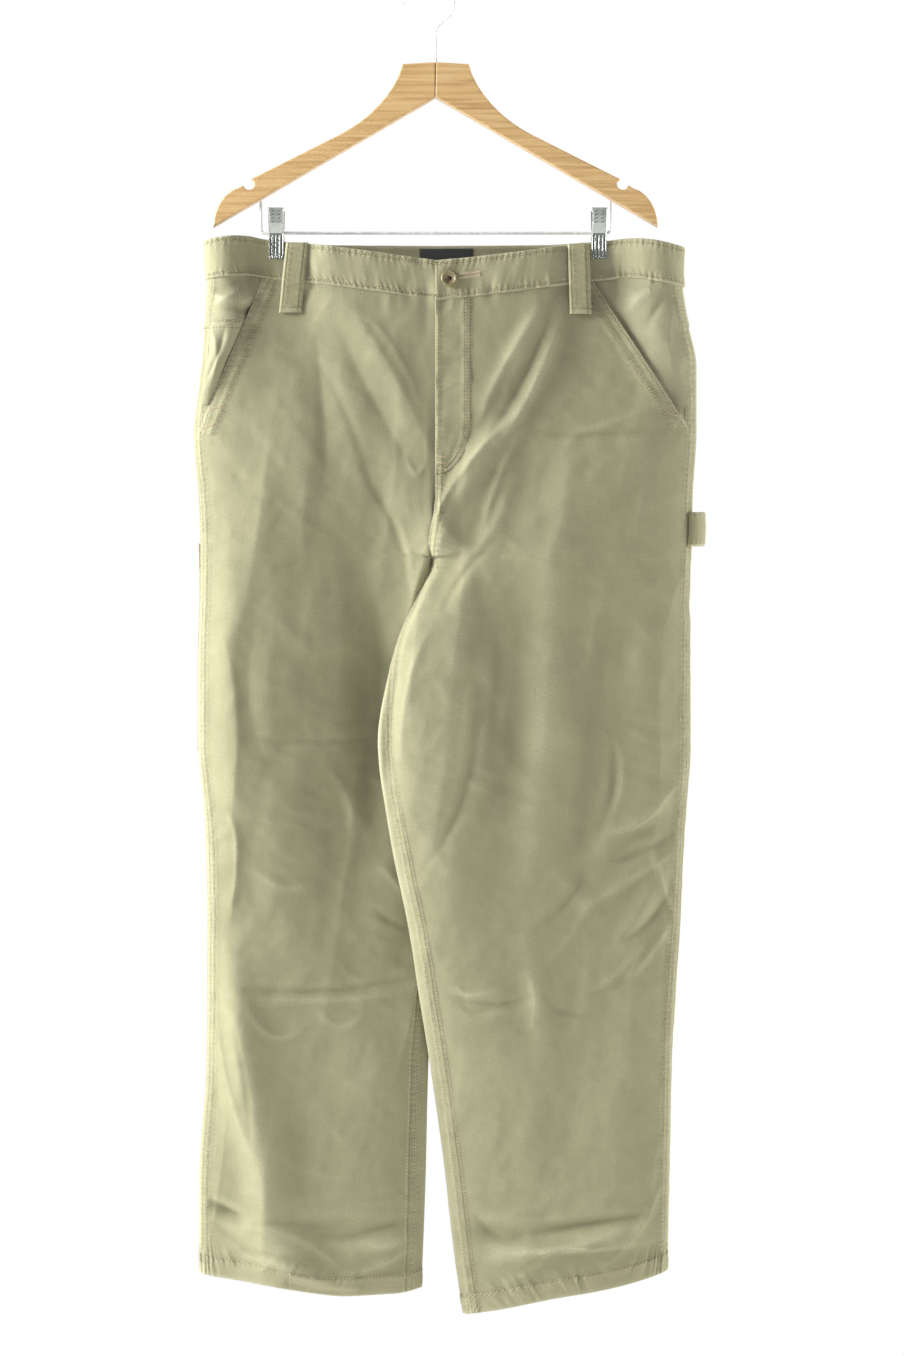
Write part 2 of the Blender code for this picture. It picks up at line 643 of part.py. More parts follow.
def make_belt_loops():
    length = BAND_HEIGHT + LOOP_BELOW_BAND
    for name, (face, top_at, foot_at, width) in BELT_LOOPS.items():
        leg = "left" if top_at >= 0 else "right"
        way = -1.0 if face == "front" else 1.0
        names = ["waistband", f"front_{leg}"] if face == "front" else ["waistband", f"yoke_{leg}", f"back_{leg}"]
        top = float(waist_drop(leg, ring_at(leg, face, np.array(abs(top_at)), np.array(280.0)))) + 1.5
        grid = []
        for down in np.linspace(0, 1, 9):
            middle = top_at + (foot_at - top_at) * down
            drop = top + (length - 1.5) * down
            around = [(middle + width * side, min(max(drop + step, top), top + length))
                      for side in np.linspace(-0.5, 0.5, 9) for step in (-5, -2.5, 0, 2.5, 5)]
            depth = max(face_depth(names, face, across, there) for across, there in around)
            depth += SEAM_GAP + LOOP_BOW * math.sin(math.pi * down) ** 1.5
            grid.append([(middle + width * side, way * depth, -drop) for side in (-0.5, 0, 0.5)])
        inner = np.array(grid)
        outer = inner + np.array([0, way * LOOP_WALL, 0])
        wall(name, "canvas_edge", outer, inner)


# Pockets on the back: panel, then the outline's corners as (across, drop).
BACK_POCKETS = {
    "back_pocket_right": ("back_right", ((-42, 396), (-192, 396), (-182, 548), (-115, 564), (-52, 548))),
    "back_pocket_left": ("back_left", ((42, 396), (192, 396), (182, 548), (115, 564), (52, 548))),
    "tool_pocket": ("back_right", ((-130, 563), (-260, 563), (-260, 770), (-138, 770))),
}


def make_back_pockets():
    for name, (panel, outline) in BACK_POCKETS.items():
        def gape(place):
            return 1.6 * math.exp(-(((outline[0][1] + place.z) / 14) ** 2))
        sewn_on(name, panel, outline, SEAM_GAP, PATCH, "canvas", gape)


HAMMER_LOOP = {"drop": 549.0, "width": 34.0, "stand": 17.0, "back_out": 206.0}


def make_hammer_loop():
    """A strap from the wearer's left side seam round to the back of the leg, standing off it."""
    first = float(outseam(HAMMER_LOOP["drop"])) + 0.06
    last = float(ring_at("left", "back", np.array(HAMMER_LOOP["back_out"]), np.array(HAMMER_LOOP["drop"])))
    ring = even_ring("left", first, last, HAMMER_LOOP["drop"], 13)
    share = np.linspace(0, 1, 13)
    stand = 0.7 + HAMMER_LOOP["stand"] * np.sin(math.pi * share) ** 0.8
    drop = HAMMER_LOOP["drop"] + HAMMER_LOOP["width"] * np.linspace(-0.5, 0.5, 3)[:, None] + 0 * share
    slope = 6.0 * share
    outer = cloth_point("left", ring + 0 * drop, drop - slope, stand + LOOP_WALL)
    inner = cloth_point("left", ring + 0 * drop, drop - slope, stand)
    wall("hammer_loop", "canvas_edge", outer, inner)


LABEL = {"from": -16.0, "to": 37.0, "below_edge": 4.0, "height": 30.0, "wall": 0.8}


def make_label():
    """The plain tab inside the back of the waistband."""
    across = np.linspace(LABEL["from"], LABEL["to"], 5)
    down = np.linspace(0, 1, 2)[:, None]
    ring = ring_at("left", "back", np.abs(across), np.full(5, 280.0))
    drop = waist_drop("left", ring) + LABEL["below_edge"] + LABEL["height"] * down
    lift = BAND_LIFT - BAND_WALL - SEAM_GAP
    outer = cloth_point("left", ring + 0 * drop, drop, lift)
    inner = cloth_point("left", ring + 0 * drop, drop, lift - LABEL["wall"])
    for points in (outer, inner):
        points[..., 0] *= np.sign(across)
    wall("label", "label", outer, inner)


# ---------------------------------------------------------------- button
BUTTON = {"out": 14.0, "radius": 8.5, "rim": 1.2, "dish": 1.4, "height": 3.4, "steps": 24}


def make_button():
    """A turned disc with a raised rim and a dished middle, on the button end of the band."""
    radius, rim, height = BUTTON["radius"], BUTTON["rim"], BUTTON["height"]
    dish = height - BUTTON["dish"]
    profile = ((0, dish), (radius * 0.45, dish), (radius * 0.62, height - 0.2), (radius - rim, height),
               (radius, height - rim), (radius, rim), (radius - rim, 0), (0, 0))
    data = bpy.data.meshes.new("button")
    data.from_pydata([(r * MM, 0, z * MM) for r, z in profile], [(i, i + 1) for i in range(len(profile) - 1)], [])
    made = bpy.data.objects.new("button", data)
    turn = made.modifiers.new("turn", "SCREW")
    turn.steps = turn.render_steps = BUTTON["steps"]
    turn.use_merge_vertices = True
    turn.merge_threshold = 0.00005
    turn.use_normal_flip = False
    dress(made, "button", "plastic")
    ring = ring_at("left", "front", np.array([BUTTON["out"]]), np.array([300.0]))
    centre_drop = waist_drop("left", ring) + BAND_HEIGHT / 2
    seat = cloth_point("left", ring, centre_drop, BAND_LIFT + SEAM_GAP + 0.5)[0]
    normal = Vector(outward("left", ring, centre_drop)[0])
    made.location = Vector(seat) * MM
    made.rotation_mode = "QUATERNION"
    made.rotation_quaternion = normal.to_track_quat("Z", "Y")
    return made


# ---------------------------------------------------------------- hanger
WOOD = {"thickness": 12.0, "top": 82.0, "shoulder_out": 33.0, "shoulder": 84.0, "apex": 117.0,
        "tip_out": 221.8, "tip": 246.3, "round": 1.2}
SWEEP = ((33, 84), (40, 112), (66, 139), (95, 154))     # concave top edge of each arm
NOTCH = {"out": 186.6, "drop": 204.0, "radius": 5.6}    # strap notch
ARM_END = {"out": 190.0, "across": 31.8, "down": 39.6}
WIRE = 1.5              # radius of the hook's and the bar's wire
HOOK = {"radius": 24.0, "centre_out": -5.5, "centre": 22.5, "bend": 52.0}
STEM_DEPTH = 24.0       # how far the hook's stem runs into the wood
BAR = {"end_out": 174.5, "level": 252.0, "corner": 3.0}


def bezier(points, steps):
    a, b, c, d = (np.array(p, float) for p in points)
    t = np.linspace(0, 1, steps)[:, None]
    return (1 - t) ** 3 * a + 3 * (1 - t) ** 2 * t * b + 3 * (1 - t) * t ** 2 * c + t ** 3 * d


def arm_outline():
    """One arm's outline, as (out, drop), from the middle joint along the top to the tip."""
    seam = SEAM_GAP / 2
    points = [(seam, WOOD["top"])]
    points += [tuple(p) for p in bezier(SWEEP, 9)]
    facing = math.atan2(SWEEP[3][1] - SWEEP[2][1], SWEEP[3][0] - SWEEP[2][0])
    for turn in np.radians(np.linspace(-38, 198, 9)):
        angle = facing + math.pi - turn
        points.append((NOTCH["out"] + NOTCH["radius"] * math.cos(angle),
                       NOTCH["drop"] + NOTCH["radius"] * math.sin(angle)))
    for turn in np.radians(np.linspace(12, 90, 7)):
        points.append((ARM_END["out"] + ARM_END["across"] * math.sin(turn),
                       WOOD["tip"] - ARM_END["down"] * math.cos(turn)))
    points.append((seam, WOOD["apex"]))
    return points


def outline_solid(name, points, thickness, colour, kind, round_edge=0.0, hole=()):
    """A flat outline given as (x, y) in mm, with its thickness along Z and a hole if it has one."""
    curve = bpy.data.curves.new(name, "CURVE")
    curve.dimensions = "2D"
    curve.fill_mode = "BOTH"
    curve.extrude = (thickness / 2 - round_edge) * MM
    curve.bevel_depth = round_edge * MM
    curve.bevel_resolution = 1
    curve.offset = -round_edge * MM
    for loop in filter(len, (points, hole)):
        spline = curve.splines.new("POLY")
        spline.points.add(len(loop) - 1)
        for point, (x, y) in zip(spline.points, loop):
            point.co = (x * MM, y * MM, 0, 1)
        spline.use_cyclic_u = True
    made = bpy.data.objects.new(name, curve)
    return dress(made, colour, kind)


def as_mesh(source):
    """The curve's solid as a mesh object, with its caps welded on."""
    bpy.context.view_layer.update()
    graph = bpy.context.evaluated_depsgraph_get()
    data = bpy.data.meshes.new_from_object(source.evaluated_get(graph))
    mesh = bmesh.new()
    mesh.from_mesh(data)
    bmesh.ops.remove_doubles(mesh, verts=mesh.verts[:], dist=1e-6)
    mesh.to_mesh(data)
    mesh.free()
    name = source.name
    made = bpy.data.objects.new(name + "_mesh", data)
    for collection in source.users_collection:
        collection.objects.link(made)
    made.parent = source.parent
    made.matrix_basis = source.matrix_basis
    bpy.data.objects.remove(source)
    made.name = name
    return made


def stem_cutter():
    """The blind hole for the hook's stem, on the joint between the two arms."""
    mesh = bmesh.new()
    bmesh.ops.create_cone(mesh, cap_ends=True, segments=16, radius1=(WIRE + SEAM_GAP) * MM,
                          radius2=(WIRE + SEAM_GAP) * MM, depth=2 * STEM_DEPTH * MM)
    data = bpy.data.meshes.new("stem_hole")
    mesh.to_mesh(data)
    mesh.free()
    made = bpy.data.objects.new("stem_hole", data)
    CUTTERS.objects.link(made)
    made.parent = CENTRE
    made.location = (0, 0, -WOOD["top"] * MM)
    made.hide_render = True
    made.display_type = "WIRE"
    return made


def make_arms():
    cutter = stem_cutter()
    for leg, sign in SIGN.items():
        points = [(sign * out, -drop) for out, drop in arm_outline()]
        if sign < 0:
            points.reverse()
        arm = outline_solid(f"hanger_arm_{leg}", points, WOOD["thickness"], "wood", "wood", WOOD["round"])
        arm.rotation_euler = (math.pi / 2, 0, 0)
        arm = as_mesh(arm)
        hole = arm.modifiers.new("stem_hole", "BOOLEAN")
        hole.operation = "DIFFERENCE"
        hole.solver = "EXACT"
        hole.object = cutter


def wire(name, points, radius, colour="steel"):
    """A round wire along points given in mm."""
    curve = bpy.data.curves.new(name, "CURVE")
    curve.dimensions = "3D"
    curve.bevel_depth = radius * MM
    curve.bevel_resolution = 2
    curve.use_fill_caps = True
    spline = curve.splines.new("POLY")
    spline.points.add(len(points) - 1)
    for point, place in zip(spline.points, points):
        point.co = (*(Vector(place) * MM), 1)
    made = bpy.data.objects.new(name, curve)
    return dress(made, colour, "metal")


def make_hook():
    """The stem rises from the wood, bends out and runs over the rail to a flared tip."""
    centre, radius = HOOK["centre_out"], HOOK["radius"]
    stem = [(0, 0, -(WOOD["top"] + STEM_DEPTH - 1)), (0, 0, -WOOD["top"]), (0, 0, -HOOK["bend"])]
    right = centre + radius
    sweep = bezier(((0, HOOK["bend"]), (0, 40), (right, 42), (right, HOOK["centre"])), 9)[1:-1]
    bend = [(x, 0, -drop) for x, drop in sweep]
    over = [(centre + radius * math.cos(a), 0, -HOOK["centre"] + radius * math.sin(a))
            for a in np.radians(np.linspace(0, 172, 19))]
    tip = [(centre - radius - 1.5, 0, -HOOK["centre"] + 1.0), (centre - radius - 5.0, 0, -HOOK["centre"] - 1.0)]
    wire("hook", stem + bend + over + tip, WIRE)


def make_bar():
    """The clips' bar, let into the underside of both arms."""
    out, level, corner = BAR["end_out"], BAR["level"], BAR["corner"]
    slope = (WOOD["tip"] - WOOD["apex"]) / WOOD["tip_out"]
    under = WOOD["apex"] + slope * out
    side = [(-out, 0, -(under + SEAM_GAP + 1.0)), (-out, 0, -(level - corner))]
    turn = [(-out + corner * (1 - math.cos(a)), 0, -(level - corner + corner * math.sin(a)))
            for a in np.radians(np.linspace(18, 90, 5))]
    half = side + turn
    wire("trouser_bar", half + [(-x, y, z) for x, y, z in reversed(half)], WIRE)


# ---------------------------------------------------------------- clips
CLIP = {"width": 15.0, "sheet": 1.2, "hub": 3.4, "bore_steps": 12}
JAW_SEAT = CLAMPED + BAND_LIFT + SEAM_GAP + 0.1     # inner face of a jaw, from the middle plane
CLIP_SIDE = ((278.5, 0.0), (262.0, 0.0), (253.0, 0.9), (243.0, 4.2), (228.5, 8.2))   # drop, stand-off


def clip_outline():
    """Side view of a clip, as (distance from the middle plane, drop): two plates and their hub."""
    def stand_off(drop):
        return JAW_SEAT + float(smooth_through(CLIP_SIDE[::-1], drop))

    foot, head = CLIP_SIDE[0][0], CLIP_SIDE[-1][0]
    under, over = BAR["level"] + CLIP["hub"], BAR["level"] - CLIP["hub"]
    low = [(stand_off(drop), drop) for drop in (foot, 262.0, under)]
    high = [(stand_off(drop), drop) for drop in (over, 243.0, 236.0, head)]
    outer = [(stand_off(drop) + CLIP["sheet"], drop) for drop in (head, 236.0, 243.0, 253.0, 262.0, foot)]
    back = low[::-1] + outer[::-1] + high[::-1]
    front = [(-y, drop) for y, drop in high + outer]
    return [(-y, drop) for y, drop in low] + back + front


def make_clips():
    steps = CLIP["bore_steps"]
    bore = [((WIRE + SEAM_GAP) * math.cos(a), (WIRE + SEAM_GAP) * math.sin(a) - BAR["level"])
            for a in np.linspace(0, 2 * math.pi, steps, endpoint=False)]
    for leg, sign in SIGN.items():
        points = [(y, -drop) for y, drop in clip_outline()]
        clip = outline_solid(f"clip_{leg}", points, CLIP["width"], "steel", "metal", hole=bore)
        clip.rotation_euler = (math.pi / 2, 0, math.pi / 2)
        clip.location = (sign * CLIP_AT[leg] * MM, 0, 0)


# ---------------------------------------------------------------- build
for old in list(bpy.data.objects):
    bpy.data.objects.remove(old)

GARMENT = bpy.data.collections.new("carpenter_jeans")
CUTTERS = bpy.data.collections.new("cutters")
for group in (GARMENT, CUTTERS):
    bpy.context.scene.collection.children.link(group)

CENTRE = bpy.data.objects.new("hanger_centre", None)
CENTRE.location = (HANGER_CENTRE * MM, 0, 0)
GARMENT.objects.link(CENTRE)

make_legs()
make_yokes()
make_pocket_panels()
make_fly()
make_waistband()
make_hems()
make_belt_loops()
make_back_pockets()
make_hammer_loop()
make_label()
make_button()
make_arms()
make_hook()
make_bar()
make_clips()
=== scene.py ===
# %% [markdown]
# # Khaki canvas carpenter jeans on a clip hanger
#
# The garment hangs flat from two clips on a beech hanger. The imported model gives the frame: the
# origin is the seat of the hanger's hook, X runs to the viewer's right, Y away from the viewer and
# Z up. Lengths below are in millimetres until a mesh is made.
#
# The plan: one function gives the cloth's surface anywhere on either leg, with its folds, creases
# and seams. Every panel, patch, hem and stitch is then laid on that one surface.

import math

import bmesh
import bpy
import numpy as np
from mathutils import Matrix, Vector
from mathutils.bvhtree import BVHTree


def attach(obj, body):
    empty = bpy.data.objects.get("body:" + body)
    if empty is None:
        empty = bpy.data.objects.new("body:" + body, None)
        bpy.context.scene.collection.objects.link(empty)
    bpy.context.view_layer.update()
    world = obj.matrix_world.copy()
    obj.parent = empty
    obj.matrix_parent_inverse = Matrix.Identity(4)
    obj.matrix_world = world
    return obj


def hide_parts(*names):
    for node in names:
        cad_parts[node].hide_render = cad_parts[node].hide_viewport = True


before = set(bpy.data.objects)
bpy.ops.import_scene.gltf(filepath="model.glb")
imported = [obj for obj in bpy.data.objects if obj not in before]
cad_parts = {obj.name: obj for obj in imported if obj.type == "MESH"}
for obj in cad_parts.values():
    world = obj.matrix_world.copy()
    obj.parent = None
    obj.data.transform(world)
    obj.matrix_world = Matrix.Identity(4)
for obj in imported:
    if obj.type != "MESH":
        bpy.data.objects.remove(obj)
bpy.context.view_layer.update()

MM = 0.001
HANGER_CENTRE = 5.5     # the garment's middle lies this far to +X of the hook's seat
SIGN = {"right": -1.0, "left": 1.0}     # the wearer's sides

# %% [markdown]
# ## The body of the cloth
#
# Each leg is a flat tube. A row of the table is one level of it: how far its two edges lie from
# the garment's middle, how much the inner edge leans back or forward, its half depths, and how far
# in from each edge it rounds. The rows are those of the solid model, so the cloth stays on it.

# %% Sections of the legs
SECTION = ("drop", "inner", "outer", "lean", "front", "back", "inner_cap", "outer_cap")
LEG_SECTIONS = {
    "right": (
        (250, 0, 231, 0, 17, 13, 0, 26), (300, 0, 229, 0, 20, 15, 0, 32),
        (345, 0, 231, 0, 24, 20, 0, 42), (400, 0, 236, 0, 26, 25, 0, 55),
        (452, 0, 242, 0, 27, 28, 0, 68), (520, 0, 237, 0, 26, 30, 10, 80),
        (575, 0.2, 235, 0, 24, 30, 34, 88), (588, 0.2, 235, 1.5, 23, 30, 40, 89),
        (604, -1.0, 235, 5.5, 22, 29, 48, 90), (622, -6, 235, 11, 21, 28, 56, 91),
        (650, -18, 236, 19, 19, 27, 68, 93), (690, -30, 237, 27, 18, 26, 78, 96),
        (760, -36, 237, 27, 18, 25, 86, 100), (850, -22, 230, 22, 18, 23, 88, 100),
        (950, -4, 228, 15, 19, 21, 88, 98), (1010, 2, 228, 10, 19, 20, 88, 97),
        (1080, 7, 229, 4, 19, 19, 86, 95), (1200, 10, 236, 0, 18, 18, 84, 92),
        (1330, 15, 236, 0, 17, 17, 84, 90),
    ),
    "left": (
        (250, 0, 248, 0, 17, 13, 0, 26), (300, 0, 246, 0, 20, 15, 0, 32),
        (345, 0, 253, 0, 24, 20, 0, 42), (385, 0, 261, 0, 27, 24, 0, 52),
        (450, 0, 261, 0, 30, 28, 0, 68), (520, 0, 257, 0, 33, 29, 10, 80),
        (575, 0.2, 256, 0, 33, 28, 34, 88), (588, -5.0, 255, -1.8, 32, 25, 40, 89),
        (604, -12, 255, -6, 31, 22, 48, 90), (622, -20, 254, -12, 30, 20, 56, 91),
        (650, -34, 255, -19, 28, 18, 68, 93), (690, -46, 255, -26, 27, 17, 78, 96),
        (760, -57, 255, -26, 26, 17, 90, 100), (850, -46, 249, -23, 24, 17, 92, 100),
        (950, -26, 244, -16, 22, 18, 90, 98), (1010, -17, 240, -11, 20, 18, 90, 97),
        (1080, -6, 236, -5, 19, 19, 86, 95), (1180, 8, 234, 0, 18, 18, 84, 92),
        (1270, 18, 232, 0, 17, 17, 84, 90), (1335, 28, 231, 0, 17, 17, 84, 90),
    ),
}
CROTCH = 575.0          # drop of the crotch point
EARLY_LEAN = {"right": 7.0, "left": -9.0}       # the thighs start to lean above the crotch
RISE_TURN = {"front": 520.0, "back": 478.0}     # where the centre seams start to turn under
CLIP_AT = {"right": 159.0, "left": 163.5}
CLAMPED = 2.8           # half the cloth's depth between a clip's jaws
# A drop and the share of the jaws' grip that is left there.
PINCH = ((250, 1.0), (284, 1.0), (302, 0.80), (345, 0.45), (400, 0.20), (475, 0.0))

WAIST_LINE = {
    ("right", "front"): ((0, 281), (32, 277), (76, 271), (126, 264), (169, 258.5), (187, 256), (231, 260)),
    ("left", "front"): ((0, 282), (32, 279), (78, 273.5), (124, 267), (172, 260), (189, 258.5), (248, 267)),
    ("right", "back"): ((0, 263), (120, 262), (187, 259), (231, 260)),
    ("left", "back"): ((0, 263), (120, 262), (189, 260), (248, 267)),
}
HEM_LINE = {
    "right": ((16, 1306), (40, 1310), (90, 1311), (168, 1300), (236, 1292)),
    "left": ((28, 1332), (66, 1325), (115, 1315), (173, 1305), (231, 1290)),
}
HEM_BACK_RISE = 6.0     # the hems are this much shorter behind
BAND_DROP, HEM_LEVEL = 280.0, 1310.0    # drops at which the band and the hems read the legs
SEAM_LINE = ("drop", "inseam", "outseam")
SEAMS = (
    (250, -1.00, 1.45),
    (345, -1.00, 1.55),
    (455, -1.00, 1.66),
    (575, -1.00, 1.70),
    (650, -0.96, 1.71),
    (760, -0.80, 1.71),
    (900, -0.72, 1.70),
    (1340, -0.70, 1.70),
)
SLANT = {"right": ((171, 296), (236, 455)), "left": ((158, 302), (251, 449))}
YOKE_LINE = ((0, 378), (120, 356), (250, 340))
BAND_HEIGHT = 40.0
HEM_HEIGHT = 20.0
NO_ROW = 30.0           # the distance to stitching that says there is none near
print("levels", {leg: len(rows) for leg, rows in LEG_SECTIONS.items()})


# %% [markdown]
# A ring goes round a leg: its coordinate runs from -1 at the inner edge by 0 and 1 along the front
# to 2 at the outer edge, and by 3 and 4 along the back to 5, the inner edge again.

# %% Functions of the bare surface
def smooth_through(points, at):
    """A smooth curve through (position, value) points that never overshoots them."""
    where, value = (np.array(column, float) for column in zip(*points))
    step = np.diff(where)
    slope = np.diff(value) / step
    tangent = np.zeros_like(value)
    same_way = slope[:-1] * slope[1:] > 0
    mean = np.where(same_way, 2 * slope[:-1] * slope[1:] / np.where(same_way, slope[:-1] + slope[1:], 1), 0)
    tangent[1:-1] = mean
    tangent[0], tangent[-1] = slope[0], slope[-1]
    at = np.clip(np.asarray(at, float), where[0], where[-1])
    span = np.clip(np.searchsorted(where, at, side="right") - 1, 0, len(step) - 1)
    t = (at - where[span]) / step[span]
    rise = (1 + 2 * t) * (1 - t) ** 2 * value[span] + t ** 2 * (3 - 2 * t) * value[span + 1]
    turn = t * (1 - t) ** 2 * tangent[span] - t ** 2 * (1 - t) * tangent[span + 1]
    return rise + turn * step[span]


def column(rows, names, name, at):
    """One named column of a table of sections, read at any drop."""
    place = names.index(name)
    return smooth_through([(row[0], row[place]) for row in rows], at)


def ease(share):
    """A smooth step from 0 to 1."""
    share = np.clip(share, 0, 1)
    return share * share * (3 - 2 * share)


def bell(share):
    """A bell curve: 1 in the middle, 0.37 at a distance of 1."""
    return np.exp(-(share ** 2))


def wrap(ring):
    """Bring ring coordinates past the inner edge back to the start."""
    return np.where(ring > 5, ring - 6, ring)


def walked_along(points):
    """How far along a line each of its points is."""
    return np.concatenate([[0], np.cumsum(np.linalg.norm(np.diff(points, axis=0), axis=1))])


def turn_under(face, drop):
    """How far round its inner edge a leg is built: 0 at the front, 1 at the crotch point."""
    start = RISE_TURN[face]
    share = np.clip((drop - start) / (CROTCH - start), 0, 1)
    return np.arcsin(share) / (math.pi / 2)


def section_of(leg, face, drop):
    """The measures of a leg's section, with its inner edge joined to the other leg above the crotch."""
    rows = LEG_SECTIONS[leg]
    found = {name: column(rows, SECTION, name, drop) for name in SECTION[1:]}
    turned = np.sin(turn_under(face, drop) * math.pi / 2)
    joined = -found["inner_cap"] * (1 - turned)
    found["inner"] = np.where(drop < CROTCH, joined, found["inner"])
    found["lean"] = np.where(drop < CROTCH, 0.0, found["lean"])
    return found


def pinched(leg, out, drop, depth):
    """The depth of the cloth with what the leg's clip takes from it."""
    width = 38 + 0.16 * np.clip(drop - 284, 0, 200)
    share = smooth_through(PINCH, drop) * np.exp(-(np.abs(out - CLIP_AT[leg]) / width) ** 3)
    return CLAMPED + (depth - CLAMPED) * (1 - share)


def bare_point(leg, ring, drop):
    """The surface without its folds, at a ring coordinate and a drop."""
    ring = wrap(ring)
    behind = ring > 2
    along = np.where(behind, 4 - ring, ring)
    front, back = section_of(leg, "front", drop), section_of(leg, "back", drop)
    cut = {name: np.where(behind, back[name], front[name]) for name in front}
    depth = np.where(behind, cut["back"], cut["front"])
    start, end = cut["inner"] + cut["inner_cap"], cut["outer"] - cut["outer_cap"]
    inner_turn = np.clip(-along, 0, 1) * math.pi / 2
    outer_turn = np.clip(along - 1, 0, 1) * math.pi / 2
    out = start + (end - start) * np.clip(along, 0, 1)
    out = out - cut["inner_cap"] * np.sin(inner_turn) + cut["outer_cap"] * np.sin(outer_turn)
    width = np.maximum(cut["outer"] - cut["inner"], 1)
    reach = 0.38 + 0.37 * ease((drop - CROTCH) / 150)
    lean = cut["lean"] * (1 - ease((out - cut["inner"]) / (reach * width)))
    ahead = ease((drop - 490) / 85) * (1 - ease((drop - 575) / 100))
    lean = lean + EARLY_LEAN[leg] * ahead * ease(out / 70) * (1 - ease((out - 70) / 130))
    reach = pinched(leg, out, drop, depth) * np.cos(inner_turn) * np.cos(outer_turn)
    y = lean + np.where(behind, reach, -reach)
    return np.stack([SIGN[leg] * out, y, -drop], axis=-1)


def out_at(leg, ring, drop):
    """How far out from the garment's middle ring coordinates are at one level."""
    return SIGN[leg] * bare_point(leg, ring, np.full_like(ring, drop))[..., 0]


def outward(leg, ring, drop):
    """Unit normal of the bare surface, pointing out of the garment."""
    along = bare_point(leg, ring + 0.01, drop) - bare_point(leg, ring - 0.01, drop)
    down = bare_point(leg, ring, drop + 1.0) - bare_point(leg, ring, drop - 1.0)
    normal = -SIGN[leg] * np.cross(along, down)
    return normal / np.maximum(np.linalg.norm(normal, axis=-1, keepdims=True), 1e-9)


# %% [markdown]
# ## Folds and creases
#
# The large folds are soft bars on the surface. Hung by the waistband, the cloth fans from the belt
# loops to the crotch, sags in long shallow troughs down the thighs, wrinkles behind the knees and
# breaks above the hems, where it was let down. The finer creases below curve through a middle
# point and have a steep and a gentle side, which is what makes a crease in canvas look pressed.

# %% Large folds, in line with the solid model
# Across and drop at both ends, half width and height.
FOLDS = {
    "front": (
        # fan from the left belt loop to the crotch
        (108, 322, 44, 440, 12, 6), (92, 330, 40, 455, 11, -4), (126, 330, 70, 440, 13, 7),
        (76, 436, 16, 530, 14, 10), (14, 534, -34, 664, 13, 7), (112, 350, 62, 450, 10, -5),
        (56, 522, -6, 626, 10, -3.5), (78, 486, 44, 580, 11, 3),
        # fan from the right belt loop
        (-92, 322, -12, 450, 16, 2.5), (-104, 345, -22, 490, 17, -2.5), (-122, 340, -104, 520, 17, -3),
        (-62, 470, -24, 660, 18, -5),
        # thighs and knees
        (82, 560, 74, 900, 24, -3), (128, 470, 96, 960, 26, 5), (46, 710, -2, 885, 11, -3),
        (-206, 600, -222, 830, 20, 6), (-66, 600, -60, 860, 20, -7), (-104, 800, -92, 960, 22, -5),
        (-208, 970, -168, 1226, 17, 13), (240, 800, 140, 880, 11, 4), (238, 870, 170, 985, 11, 4),
        (90, 965, 108, 1060, 14, 4),
        # breaks above the hems
        (-226, 1224, -188, 1238, 7, -5), (-140, 1246, -30, 1242, 9, -4), (-182, 1250, -86, 1296, 17, 11),
        (-80, 1268, -20, 1256, 12, 5), (-206, 1270, -150, 1284, 9, -4), (38, 1246, 106, 1256, 9, -5),
        (106, 1252, 218, 1230, 10, -5), (52, 1276, 200, 1250, 15, 6),
    ),
    "back": (
        (60, 330, 20, 520, 16, 4), (-64, 334, -24, 515, 16, 4), (90, 560, 30, 690, 18, 6),
        (-92, 570, -30, 700, 18, 6), (150, 600, 130, 960, 26, -4), (-146, 620, -134, 940, 24, -5),
        (70, 880, 150, 960, 14, 4), (-210, 880, -130, 930, 14, -4), (60, 1150, 190, 1200, 16, -4),
        (-60, 1170, -180, 1210, 16, -4),
    ),
}

